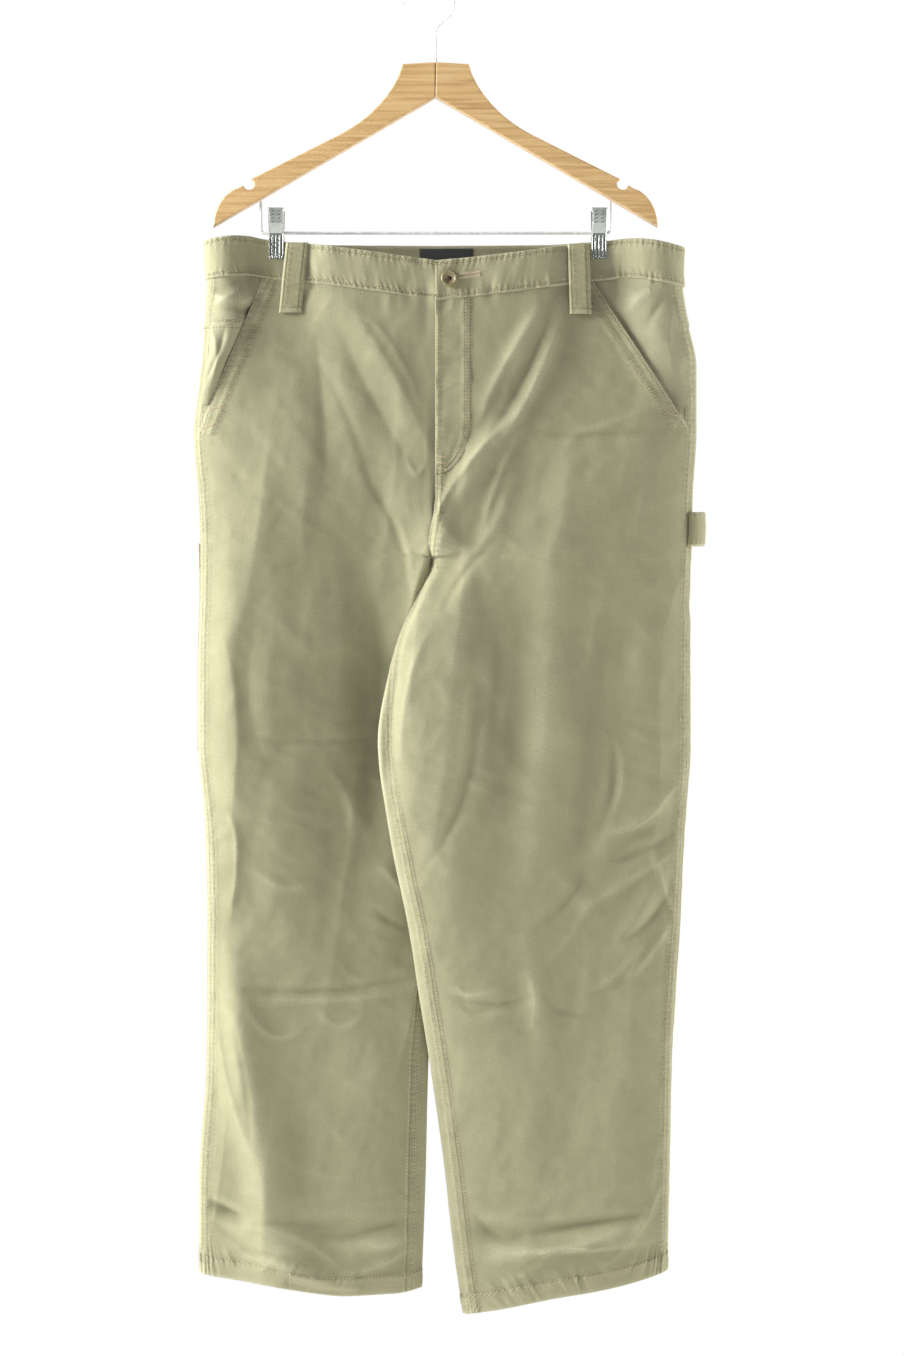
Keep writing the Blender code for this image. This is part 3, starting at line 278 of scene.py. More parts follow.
# %% Fine creases
# Across and drop at the start, the middle and the end, half width on the left and on the right of
# the way, and height.
CREASES = {
    "front": (
        # in the right pocket's opening and on its coin pocket
        (-229, 304, -216, 317, -198, 322, 4, 6, 2.6), (-222, 326, -204, 316, -188, 302, 4, 5, 2),
        (-226, 344, -215, 372, -221, 412, 5, 6, 2.8), (-208, 348, -214, 376, -226, 404, 3, 4, -2.6),
        # in the left pocket's opening, below the band and the left belt loop
        (221, 306, 207, 316, 188, 336, 5, 8, 2.6), (232, 314, 219, 332, 206, 352, 6, 7, -1.9),
        (236, 322, 232, 360, 238, 400, 7, 9, 1.6), (104, 326, 66, 392, 42, 448, 5, 9, 2.4),
        (118, 322, 86, 404, 46, 470, 7, 5, -2.4), (128, 330, 96, 412, 58, 470, 9, 6, 2.8),
        (74, 440, 42, 474, 18, 506, 5, 9, 3.4), (22, 498, -6, 556, -32, 650, 5, 8, 4.2),
        (92, 446, 66, 490, 44, 562, 4, 7, 2.2), (60, 560, 30, 592, 6, 636, 4, 6, -1.8),
        (96, 452, 152, 456, 250, 449, 4, 4, -1.3), (124, 460, 168, 446, 206, 432, 4, 5, 1.3),
        # below the right belt loop
        (-92, 322, -44, 392, -4, 478, 8, 12, 1.4), (-98, 345, -62, 420, -18, 494, 7, 9, -1.2),
        (-126, 372, -90, 430, -58, 520, 5, 7, -1), (-76, 330, -40, 372, -14, 430, 5, 7, 1),
        (-120, 350, -112, 430, -110, 510, 8, 6, -1.4), (-8, 482, -20, 494, -30, 470, 4, 5, 1.3),
        (-70, 500, -36, 560, -26, 640, 10, 8, -2.2), (-54, 520, -24, 590, -40, 700, 6, 10, 1.6),
        # right thigh and knee
        (-60, 610, -52, 760, -56, 800, 12, 9, -2.6), (-190, 757, -120, 760, -52, 756, 3, 3, -0.9),
        (-214, 640, -196, 740, -206, 860, 9, 16, 2.6), (-176, 640, -184, 720, -160, 800, 10, 14, -1.6),
        (-120, 780, -90, 810, -78, 860, 5, 8, 0.9), (-98, 810, -88, 850, -94, 880, 5, 5, -0.8),
        (-206, 830, -196, 870, -206, 950, 6, 9, 2.4), (-190, 880, -150, 905, -118, 900, 6, 6, 1.2),
        (-60, 880, -36, 905, -24, 930, 4, 7, 1.8), (-64, 925, -44, 940, -20, 948, 4, 5, -1.5),
        (-204, 1004, -110, 1008, -14, 994, 3, 5, -1.7), (-200, 1012, -100, 1018, -16, 1005, 5, 6, 1.2),
        (-186, 1020, -162, 1052, -130, 1046, 4, 5, 1.6), (-120, 1024, -94, 1044, -70, 1030, 4, 5, 1.3),
        # right shin
        (-216, 1020, -206, 1096, -176, 1180, 7, 12, 3), (-200, 1040, -186, 1100, -182, 1170, 8, 8, -1.6),
        (-160, 1150, -140, 1180, -100, 1190, 8, 10, 1.2), (-226, 1218, -206, 1228, -186, 1238, 3, 6, -4),
        (-186, 1240, -132, 1238, -96, 1250, 3, 5, -1.4), (-120, 1246, -84, 1252, -26, 1234, 3, 6, -2.4),
        (-186, 1240, -126, 1258, -82, 1300, 8, 7, 2.6), (-226, 1236, -180, 1268, -130, 1296, 6, 8, -1.6),
        (-100, 1286, -62, 1284, -24, 1262, 5, 5, 2), (-70, 1258, -50, 1262, -26, 1250, 4, 4, 1.4),
        # left thigh
        (40, 700, 28, 812, -12, 886, 4, 8, -1.7), (30, 690, 20, 800, -10, 900, 7, 6, 1),
        (0, 640, -26, 706, -34, 780, 6, 8, 1.8), (60, 640, 58, 720, 46, 800, 10, 8, -1.8),
        (120, 560, 104, 740, 86, 920, 16, 22, 2.4), (162, 600, 150, 760, 128, 900, 14, 18, -1.8),
        (172, 752, 178, 800, 160, 852, 3, 5, -1.8), (180, 760, 184, 806, 168, 850, 5, 4, 1.4),
        # behind the left knee, where the cloth crosses itself in short slanting wrinkles
        (244, 796, 206, 838, 168, 850, 5, 8, 2.6), (238, 846, 206, 870, 170, 878, 5, 7, -2.2),
        (240, 868, 196, 896, 140, 930, 6, 9, 2.4), (210, 850, 224, 900, 240, 936, 5, 7, 2),
        (236, 900, 212, 938, 178, 962, 5, 7, -2), (238, 930, 216, 968, 186, 1000, 6, 8, 1.8),
        (150, 880, 130, 920, 92, 948, 7, 9, -1.8), (160, 900, 138, 948, 110, 974, 6, 8, 1.4),
        # left knee to shin
        (14, 1012, 60, 1020, 108, 1008, 3, 5, -1.7), (22, 1000, 36, 1012, 70, 1004, 4, 4, 1.8),
        (90, 984, 100, 1020, 92, 1046, 4, 6, 1.7), (106, 1006, 124, 1028, 160, 1030, 5, 5, -1.3),
        (204, 960, 180, 992, 150, 1008, 5, 7, 1.6), (26, 1018, 40, 1028, 62, 1022, 3, 4, -1.4),
        (38, 1230, 66, 1256, 92, 1250, 5, 7, -2.6), (92, 1250, 150, 1240, 216, 1230, 4, 6, -2.4),
        (60, 1262, 120, 1264, 190, 1246, 7, 9, 2), (224, 1196, 206, 1240, 160, 1290, 6, 9, 2.2),
        (120, 1262, 96, 1286, 60, 1300, 6, 8, 1.4), (70, 1080, 74, 1160, 80, 1220, 14, 14, -1),
    ),
    "back": (
        # behind: drag lines from the seat, wrinkles behind the knees, breaks above the hems
        (16, 430, 60, 500, 120, 560, 6, 10, 2), (-16, 430, -64, 504, -122, 566, 6, 10, 2),
        (26, 520, 70, 570, 130, 600, 5, 8, -1.8), (-28, 522, -76, 574, -132, 604, 5, 8, -1.8),
        (60, 900, 120, 930, 200, 905, 5, 7, 2), (50, 930, 116, 956, 196, 950, 4, 6, -1.8),
        (70, 968, 130, 975, 190, 990, 5, 7, 1.6), (-60, 905, -120, 928, -196, 900, 5, 7, 2),
        (-56, 940, -124, 958, -200, 946, 4, 6, -1.8), (-80, 972, -134, 984, -190, 976, 5, 7, 1.6),
        (60, 1240, 130, 1252, 210, 1232, 5, 7, -2), (-40, 1246, -120, 1250, -210, 1228, 5, 7, -2),
        (130, 640, 120, 780, 134, 900, 16, 20, 2), (-130, 640, -118, 780, -128, 900, 16, 20, 2),
    ),
}

# %% Slow swells
# Slow swells of the fronts, too shallow for the solid model: across and drop at both ends, half
# width and height. Lit from the left, each is bright on its left flank and dark on its right.
DRAPES = (
    (-170, 540, -186, 900, 40, 8), (-206, 560, -198, 700, 18, 3), (-196, 760, -210, 900, 22, 4),
    (-66, 560, -72, 900, 28, -7), (-200, 940, -186, 1100, 26, 7), (-182, 1080, -160, 1246, 24, 10),
    (-150, 1230, -146, 1330, 36, 7), (-60, 1090, -40, 1230, 40, -4), (-186, 1268, -84, 1306, 26, 9),
    (-212, 1345, -66, 1350, 75, 14), (2, 590, -14, 780, 46, 5), (-60, 1020, -64, 1220, 34, 3),
    (20, 700, 14, 940, 22, 3), (76, 600, 70, 880, 24, -2), (132, 540, 100, 960, 30, 2.5),
    (190, 620, 170, 820, 22, -3), (210, 560, 206, 900, 24, 3), (90, 1060, 96, 1220, 40, 3),
    (196, 1000, 184, 1240, 30, 4), (96, 1268, 180, 1262, 22, 5), (-140, 400, -150, 520, 34, 3),
    (170, 460, 160, 560, 40, 3),
)
FOLD_SHARE, CREASE_SHARE = 0.68, 1.12     # how much of the folds and of the creases the cloth shows
for face in FOLDS:
    print(face, len(FOLDS[face]), "folds,", len(CREASES[face]), "creases")


# %% Heights of swells, folds and creases
def drape_height(across, drop):
    """Sum of the slow swells, each strongest in its middle and gone 80 mm past its ends."""
    total = np.zeros_like(across)
    for across_a, drop_a, across_b, drop_b, width, height in DRAPES:
        share = np.clip((drop - drop_a) / (drop_b - drop_a), 0, 1)
        off = across - across_a - (across_b - across_a) * share
        past = np.maximum(np.maximum(drop_a - drop, drop - drop_b), 0)
        taper = np.sin(math.pi * (0.12 + 0.76 * share))
        total += height * taper * np.exp(-((off / width) ** 2) - (past / 40) ** 2)
    return total


def fold_height(face, across, drop):
    """Sum of the large folds of one face: soft bars that fade towards both of their ends."""
    total = np.zeros_like(across)
    for across_a, drop_a, across_b, drop_b, width, height in FOLDS[face]:
        run = np.array([across_b - across_a, drop_b - drop_a], float)
        to = np.stack([across - across_a, drop - drop_a], axis=-1)
        t = np.clip(to @ run / (run @ run), 0, 1)
        off = np.linalg.norm(to - t[..., None] * run, axis=-1)
        taper = 0.35 + 0.65 * np.sin(math.pi * t)
        total += height * taper * bell(off / width)
    return total


def crease_height(face, across, drop):
    """Sum of the fine creases of one face, each swept along a curve through its middle point."""
    total = np.zeros_like(across)
    for *ends, left, right, height in CREASES[face]:
        a, m, b = np.array(ends, float).reshape(3, 2)
        reach = 2.6 * max(left, right)
        low, high = np.minimum(np.minimum(a, m), b) - reach, np.maximum(np.maximum(a, m), b) + reach
        near = (across > low[0]) & (across < high[0]) & (drop > low[1]) & (drop < high[1])
        if not near.any():
            continue
        place = np.stack([across[near], drop[near]], axis=-1)
        bow = 2 * m - (a + b) / 2
        nodes = [(1 - t) ** 2 * a + 2 * t * (1 - t) * bow + t * t * b for t in np.linspace(0, 1, 11)]
        best = np.full(len(place), 1e9)
        side, share = np.zeros(len(place)), np.zeros(len(place))
        for number, (start, end) in enumerate(zip(nodes, nodes[1:])):
            run = end - start
            to = place - start
            t = np.clip(to @ run / (run @ run), 0, 1)
            off = to - t[:, None] * run
            far = np.linalg.norm(off, axis=1)
            closer = far < best
            best = np.where(closer, far, best)
            side = np.where(closer, run[0] * to[:, 1] - run[1] * to[:, 0], side)
            share = np.where(closer, (number + t) / 10, share)
        width = np.where(side > 0, right, left)
        taper = np.sin(math.pi * np.clip(share, 0, 1)) ** 0.8
        soft, crisp = bell(best / width), np.exp(-(np.hypot(best, 1.5) - 1.5) / (0.62 * width))
        total[near] += height * taper * np.where(width < 12, crisp, soft)
    return total


# %% Noise
def lattice_noise(u, v, seed):
    """Smooth noise from -1 to 1 on a lattice of random numbers with unit steps."""
    table = np.random.default_rng(seed).uniform(-1, 1, (64, 64))
    iu, iv = np.floor(u).astype(int), np.floor(v).astype(int)
    fu, fv = ease(u - iu), ease(v - iv)
    corner = [table[(iu + i) % 64, (iv + j) % 64] for i in (0, 1) for j in (0, 1)]
    return (corner[0] * (1 - fv) + corner[1] * fv) * (1 - fu) + (corner[2] * (1 - fv) + corner[3] * fv) * fu


# %% [markdown]
# ## Seams
#
# The side seams and inseams are felled: a strip of three layers about 10 mm wide, stitched down in
# two rows, lies beside the seam line. It stands half a millimetre proud and puckers along the
# stitches, because the thread shrank more than the canvas in the wash. The slanted pocket edge, the
# centre seams, the band's lower edge and the hems pucker in the same way. Every fold, crease, seam
# and wrinkle is a height above the bare surface, and their sum moves a point along its outward way.

# %% Lines of the garment
OVERLAP = {"right": 0.0, "left": 9.0}       # the left thigh laps over the right one at the crotch
STRIP = 10.0            # width of a felled strip
POCKET_STITCH = 14.0    # width of the stitched band along a front pocket
CENTRE_STRIP = 7.0      # width of the centre seam's strip in front
# Where the rows of stitches lie: from a seam line or a pocket's edge, and the hem's row above its fold.
STRIP_ROWS, POCKET_ROWS, CENTRE_ROWS, HEM_ROW = (1.6, 8.4), (2.0, 12.8), (1.6, 6.0), 18.4


def waist_drop(leg, ring):
    """Drop of the waistband's upper edge."""
    out = out_at(leg, ring, BAND_DROP)
    front = smooth_through(WAIST_LINE[leg, "front"], out)
    back = smooth_through(WAIST_LINE[leg, "back"], out)
    return np.where(ring > 2, back, front)


def hem_drop(leg, ring):
    """Drop of a hem's fold."""
    out = out_at(leg, ring, HEM_LEVEL)
    wrapped = wrap(ring)
    behind = ease((wrapped - 1.5) / 1.2) * ease((5.2 - wrapped) / 1.2)
    return smooth_through(HEM_LINE[leg], out) - HEM_BACK_RISE * behind


def inseam(drop):
    return column(SEAMS, SEAM_LINE, "inseam", drop)


def outseam(drop):
    return column(SEAMS, SEAM_LINE, "outseam", drop)


def slant_out(leg, drop):
    """Distance out of a front pocket's slanted edge."""
    (top_out, top_drop), (foot_out, foot_drop) = SLANT[leg]
    return top_out + (foot_out - top_out) * (drop - top_drop) / (foot_drop - top_drop)


def slant_share(leg):
    """Cosine of the pocket edge's slope, to turn a level distance into a square one."""
    (top_out, top_drop), (foot_out, foot_drop) = SLANT[leg]
    return 1 / math.hypot(1, (foot_out - top_out) / (foot_drop - top_drop))


def ring_at(leg, face, out, drop):
    """The ring coordinate of a place on the front or the back, given its distance out."""
    cut = section_of(leg, face, drop)
    start, end = cut["inner"] + cut["inner_cap"], cut["outer"] - cut["outer_cap"]
    past = np.clip((out - end) / np.maximum(cut["outer_cap"], 1e-6), 0, 1)
    before = np.clip((start - out) / np.maximum(cut["inner_cap"], 1e-6), 0, 1)
    along = np.clip((out - start) / (end - start), 0, 1)
    along = along + (np.arcsin(past) - np.arcsin(before)) / (math.pi / 2)
    return along if face == "front" else 4 - along


# %% Relief of the seams
def strip(distance, width, rise):
    """A raised strip from 0 to width beside a seam line, with a soft far edge."""
    inside = ease((distance + 0.4) / 0.8) * ease((width + 0.7 - distance) / 1.4)
    groove = bell(distance / 0.7) * (distance > -2)
    return rise * inside - 0.08 * groove


def pucker(distance, along, centre, reach, size, pitch, seed):
    """Short ripples across a stitched line, strongest on it."""
    wave = lattice_noise(along / pitch, distance / (1.6 * reach) + 7.3, seed)
    return size * wave * bell((distance - centre) / reach)


def ring_unit(leg, ring, drop, step):
    """How many mm of cloth one unit of the ring coordinate is."""
    ends = bare_point(leg, ring + step, drop) - bare_point(leg, ring - step, drop)
    return np.maximum(np.linalg.norm(ends, axis=-1) / (2 * step), 20.0)


def seam_relief(leg, ring, drop, base):
    """What seams, stitched edges and puckers add to the cloth's height, and how worn the cloth is."""
    out = SIGN[leg] * base[..., 0]
    unit = ring_unit(leg, ring, drop, 0.02)
    seed = 11 if leg == "right" else 23
    wrapped = wrap(ring)
    front = wrapped < 2
    height, wear_and_painted_light, nearest = np.zeros_like(out), np.zeros_like(out), np.full_like(out, NO_ROW)

    def stitched(distance, rows, where):
        """Keep the distance to the nearest stitched row, where there is one."""
        for row in rows:
            np.minimum(nearest, np.where(where > 0.5, np.abs(distance - row), NO_ROW), out=nearest)

    def seam(distance, where, width, rise, rows, ripple, worn_and_painted_light, worn_reach):
        """Add a stitched edge: its raised strip, its puckers, its rubbed line and its rows."""
        np.add(height, where * strip(distance, width, rise), out=height)
        np.add(height, where * pucker(distance, drop, *ripple), out=height)
        np.add(wear_and_painted_light, where * worn_and_painted_light * bell((distance - 1) / worn_reach), out=wear_and_painted_light)
        stitched(distance, rows, where)

    low = ease((drop - CROTCH - 6) / 20)
    below = drop - waist_drop(leg, wrapped) - BAND_HEIGHT
    free = ease((below + 4) / 4)
    from_inseam = (wrapped - inseam(drop)) * unit
    seam(from_inseam, low * front, STRIP, 0.45, STRIP_ROWS, (STRIP / 2, 9, 0.45, 7.5, seed), 0.4, 2.0)
    from_outseam = (wrapped - outseam(drop)) * unit
    seam(from_outseam, free, STRIP, 0.45, STRIP_ROWS, (STRIP / 2, 9, 0.35, 8.0, seed + 1), 0.25, 2.2)
    edge = (slant_out(leg, drop) - out) * slant_share(leg)
    on_pocket = free * front * ease((SLANT[leg][1][1] + 8 - drop) / 14)
    seam(edge, on_pocket, POCKET_STITCH, 0.45, POCKET_ROWS,
         (POCKET_STITCH * 0.6, 11, 0.55, 7.0, seed + 2), 0.5, 2.2)

    centre = ease((drop - 470) / 8) * (1 - low) * (out < 60) * front
    behind = free * (1 - low) * ~front
    if leg == "left":
        seam(out, centre, CENTRE_STRIP, 0.5, CENTRE_ROWS, (4, 8, 0.6, 6.5, seed + 3), 0, 1)
        stitched(out, STRIP_ROWS, behind)
        height += behind * strip(out, STRIP, 0.5)
    height += behind * pucker(out, drop, 5, 9, 0.5, 8.0, seed + 4)

    height += pucker(below, wrapped * unit, 0, 17, 1.1, 9.0, seed + 5)
    above = hem_drop(leg, wrapped) - drop
    stitched(above, (HEM_ROW,), np.ones_like(out))
    roping = lattice_noise((wrapped * unit + 0.4 * above) / 3.8, above / 40 + 3.1, seed + 6)
    height += 1.0 * roping * bell((above - HEM_HEIGHT) / 10)
    height += 0.6 * roping * (above < HEM_HEIGHT) * ease((above + 2) / 8)
    wear_and_painted_light += 0.5 * bell(above / 2.5)
    return height, np.clip(wear_and_painted_light, 0, 1), nearest


# %% [markdown]
# ### Wrinkles
#
# Washed canvas is never flat. Small wrinkles run the way that the cloth is pulled: in a fan round
# the crotch, down the thighs, crossed behind the knees and level above the hems. They are noise
# stretched in that direction, with narrow crests and wide valleys, and the random numbers are fixed.

# %% Wrinkles
def streaks(u, v, seed, sharp=0.5):
    """Noise with narrow crests, for wrinkles that run along v."""
    wave = lattice_noise(u + 0.6 * lattice_noise(u * 0.7, v * 1.4, seed + 50), v, seed)
    crest = 0.55 - 1.3 * np.abs(lattice_noise(u * 0.8 + 9.1, v * 0.9, seed + 1))
    return (1 - sharp) * wave + sharp * crest


def wrinkles(leg, face, across, drop):
    """Fine wrinkles, in the direction that each part of the leg is pulled in."""
    seed = (101 if leg == "right" else 137) + (9 if face == "back" else 0)
    turn, reach = np.arctan2(across, 640 - drop), np.hypot(across, 640 - drop)
    hips = 1 - ease((drop - 520) / 90)
    thigh = ease((drop - 500) / 90) * (1 - ease((drop - 780) / 100))
    knee = ease((drop - 770) / 70) * (1 - ease((drop - 985) / 70))
    shin = ease((drop - 980) / 80) * (1 - ease((drop - 1160) / 60))
    ankle = ease((drop - 1165) / 50)
    slant = SIGN[leg] * 0.8
    here = np.clip(0.25 + lattice_noise(across / 70, drop / 80, seed + 8), 0, 1)
    there = np.clip(0.35 - lattice_noise(across / 70, drop / 80, seed + 8), 0, 1)
    # Size, places across and along the wrinkles, number of the noise, and how sharp the crests are.
    kinds = (
        (0.7 * hips, turn * 13, reach / 75, 0, 0.4),
        (0.5 * thigh, across / 17, drop / 70, 2, 0.4),
        (1.1 * here * knee, (across * 0.75 - slant * drop) / 22, (drop + slant * across) / 58, 3, 0.6),
        (0.9 * there * knee, (across + 1.3 * slant * drop) / 17, (drop - slant * across) / 46, 4, 0.7),
        (0.45 * shin, across / 23, drop / 60, 5, 0.4),
        (0.6 * here, (across + 0.7 * drop) / 15, (drop - 0.7 * across) / 34, 7, 0.75),
        (0.6 * there, (drop - 0.4 * across) / 13, (across + 0.4 * drop) / 36, 8, 0.75),
        (1.0 * ankle, (drop + 0.12 * across) / 14, across / 52, 6, 0.6),
    )
    return sum(size * streaks(u, v, seed + number, sharp) for size, u, v, number, sharp in kinds)


def crumple(leg, face, across, drop):
    """The small unevenness of washed canvas, longer down the leg than across it."""
    seed = (31 if leg == "right" else 47) + (5 if face == "back" else 0)
    slow = lattice_noise(across / 46 + 0.15 * np.sin(drop / 90), drop / 120, seed)
    middle = lattice_noise((across + 0.35 * drop) / 19, (drop - 0.2 * across) / 29, seed + 1)
    fine = lattice_noise((across - 0.25 * drop) / 8, (drop + 0.3 * across) / 9.5, seed + 2)
    broken = streaks((across + 0.12 * drop) / 34, drop / 150, seed + 60, 0.85)
    crossed = streaks((across - 0.9 * drop) / 40, (drop + 0.9 * across) / 95, seed + 63, 0.85)
    below = ease((drop - 430) / 120)
    small = 0.5 * slow + 0.45 * middle + 0.2 * fine
    long = (0.5 + 1.5 * below) * broken + (0.3 + 0.7 * below) * crossed
    return small + long + wrinkles(leg, face, across, drop)


def past_seams(wrapped, drop):
    """About how many mm a place is behind the nearest leg seam. In front it is below 0."""
    past_side = (wrapped - outseam(drop)) * 60
    past_inside = (inseam(drop) - np.where(wrapped > 1, wrapped - 6, wrapped)) * 50
    return np.where(wrapped > 1, np.minimum(past_side, past_inside), past_inside)


# %% The finished surface
def surface(leg, ring, drop, lift=0.0):
    """Finished points of the cloth, its outward direction, how worn it is, how far from stitching."""
    ring, drop = np.broadcast_arrays(np.asarray(ring, float), np.asarray(drop, float))
    base = bare_point(leg, ring, drop)
    normal = outward(leg, ring, drop)
    wrapped = wrap(ring)
    from_side = np.abs(wrapped - 2)
    across = base[..., 0]
    edge = column(LEG_SECTIONS[leg], SECTION, "inner", drop) * ease((drop - CROTCH) / 30)
    from_inner = SIGN[leg] * across - edge

    calm = ease((drop - 290) / 40) * ease((1340 - drop) / 40)
    fade = ease(from_inner / 12) * ease(from_side / 0.6)
    fine_calm = ease((drop - 300) / 20) * ease((1345 - drop) / 30)
    fine_fade = ease(from_inner / 4) * ease(from_side / 0.2)
    large, fine = (np.where(wrapped > 2, height_of("back", across, drop), height_of("front", across, drop))
                   for height_of in (fold_height, crease_height))
    broad = drape_height(across, drop) * calm * fade * (wrapped < 2)
    relief, wear_and_painted_light, nearest = seam_relief(leg, ring, drop, base)
    lapped = OVERLAP[leg] * np.exp(-(((drop - 562) / 30) ** 2) - (from_inner / 15) ** 2)

    grain = crumple(leg, "front", across, drop)
    behind = ease(past_seams(wrapped, drop) / 16)
    if behind.any():
        grain = grain + behind * (crumple(leg, "back", across, drop) - grain)
    grain = grain * (0.35 + 0.65 * calm) * ease(from_side / 0.3) * (0.1 + 0.9 * ease(from_inner / 10))
    out = np.abs(SIGN[leg] * across)
    clipped = np.exp(-((out - CLIP_AT[leg]) / 13) ** 4) * (1 - ease((drop - 276) / 12))
    height = (FOLD_SHARE * large * calm * fade + CREASE_SHARE * fine * fine_calm * fine_fade + broad
              + relief + lapped + grain * (1 - clipped))
    return base + normal * (height + lift)[..., None], normal, wear_and_painted_light, nearest


# %% [markdown]
# ## From grids to meshes
#
# Each cloth piece is a grid of points on the surface. Its edges are turned under: two more rows go
# round a small radius and down, so that an edge shows as a fold of thick cloth and not as a sharp
# line. The grid keeps a UV map in metres along and down the cloth, on which the twill is drawn.

# %% Grid helpers
def even_ring(leg, first, last, drop, count, close=0.0):
    """count ring coordinates spread evenly along the cloth, or closer together near both ends."""
    fine = np.linspace(first, last, 161)
    line = bare_point(leg, fine, np.full_like(fine, drop))
    walked = walked_along(line)
    share = np.linspace(0, 1, count)
    share = share - close * np.sin(2 * math.pi * share) / (2 * math.pi)
    return np.interp(share * walked[-1], walked, fine)


def grid_normals(points, like):
    """Normals of a grid of points, on the side of the given directions."""
    down, along = np.gradient(points, axis=(0, 1))
    normal = np.cross(along, down)
    normal /= np.maximum(np.linalg.norm(normal, axis=-1, keepdims=True), 1e-9)
    return normal * np.sign((normal * like).sum(-1, keepdims=True))


def cloth_uv(points):
    """Distances along and down the cloth, in metres."""
    along = np.linalg.norm(np.diff(points, axis=1), axis=-1)
    down = np.linalg.norm(np.diff(points, axis=0), axis=-1).mean(axis=1)
    u = np.concatenate([np.zeros((len(points), 1)), np.cumsum(along, axis=1)], axis=1)
    u = u - u[:, u.shape[1] // 2][:, None]
    v = np.concatenate([[0], np.cumsum(down)])[:, None] + 0 * u
    return np.stack([u, v], axis=-1) * MM


def turn_edge(points, normals, wear_and_painted_light, nearest, side, depth):
    """Two more rows on one side of a grid, which round over and go down by depth."""
    axis, end = {"top": (0, 0), "foot": (0, -1), "start": (1, 0), "end": (1, -1)}[side]
    edge, inner = np.take(points, end, axis), np.take(points, 1 if end == 0 else -2, axis)
    out = edge - inner
    out /= np.maximum(np.linalg.norm(out, axis=-1, keepdims=True), 1e-9)
    down = np.take(normals, end, axis)
    rows = [edge + 0.25 * depth * out - 0.35 * depth * down, edge + 0.1 * depth * out - depth * down]
    worn_and_painted_light = np.minimum(np.take(wear_and_painted_light, end, axis) + 0.35, 1)

    def order(there, more):
        more = np.stack(more, axis)
        return np.concatenate([np.flip(more, axis), there] if end == 0 else [there, more], axis)

    far = np.take(nearest, end, axis)
    more = (rows, [down, down], [worn_and_painted_light, worn_and_painted_light], [far + 0.4 * depth, far + depth])
    return [order(*both) for both in zip((points, normals, wear_and_painted_light, nearest), more)]


# %% Meshes
def new_object(name, data):
    """An object in the scene for a mesh, a light or a camera."""
    made = bpy.data.objects.new(name, data)
    bpy.context.scene.collection.objects.link(made)
    return made


def cleaned(data, merge=False, outside=False):
    """Merge the points of a mesh that lie in one place, or turn all its faces outwards."""
    mesh = bmesh.new()
    mesh.from_mesh(data)
    if merge:
        bmesh.ops.remove_doubles(mesh, verts=mesh.verts[:], dist=1e-6)
    if outside:
        bmesh.ops.recalc_face_normals(mesh, faces=mesh.faces[:])
    mesh.to_mesh(data)
    mesh.free()


def mesh_piece(name, points, wear_and_painted_light, nearest, uv, closed=False):
    """A mesh object from a grid in millimetres, with its UV map, its rubbed wear with painted light and
    shade, and distance to stitching.
    """
    rows, columns = points.shape[:2]
    number = np.arange(rows * columns).reshape(rows, columns)
    corners = (number[:-1, :-1], number[:-1, 1:], number[1:, 1:], number[1:, :-1])
    quads = np.stack(corners, -1).reshape(-1, 4)
    data = bpy.data.meshes.new(name)
    flat = points.reshape(-1, 3) * MM + np.array([HANGER_CENTRE * MM, 0, 0])
    data.from_pydata(flat.tolist(), [], quads.tolist())
    layer = data.uv_layers.new(name="cloth")
    layer.data.foreach_set("uv", uv.reshape(-1, 2)[quads.reshape(-1)].reshape(-1))
    for label, values in (("wear_and_painted_light", wear_and_painted_light), ("stitched", nearest)):
        stored = data.attributes.new(label, "FLOAT", "POINT").data
        stored.foreach_set("value", values.reshape(-1).astype(np.float32))
    data.shade_smooth()
    if closed:
        cleaned(data, merge=True)
    return new_object(name, data)


# %% Cloth pieces
def cut_size(points):
    """Width, length and area of the cloth in a grid, in metres."""
    along = np.linalg.norm(np.diff(points, axis=1), axis=-1).sum(axis=1)
    down = np.linalg.norm(np.diff(points, axis=0), axis=-1).sum(axis=0)
    cross = np.cross(points[:-1, 1:] - points[:-1, :-1], points[1:, :-1] - points[:-1, :-1])
    area = np.linalg.norm(cross, axis=-1).sum()
    return along.max() * MM, down.max() * MM, area * MM * MM


def convexity(points, normals, reach=4):
    """How far each point stands above the mean of those around it: ridges +, valleys -."""
    height, count = points, 2 * reach + 1
    for axis in (0, 1):
        size = height.shape[axis]
        before, after = (np.take(height, [end] * reach, axis) for end in (0, -1))
        total = np.cumsum(np.concatenate([before, height, after], axis), axis)
        last = np.take(total, range(count - 1, count - 1 + size), axis)
        none = np.zeros_like(np.take(total, [0], axis))
        height = (last - np.concatenate([none, np.take(total, range(size - 1), axis)], axis)) / count
    return ((points - height) * normals).sum(-1)


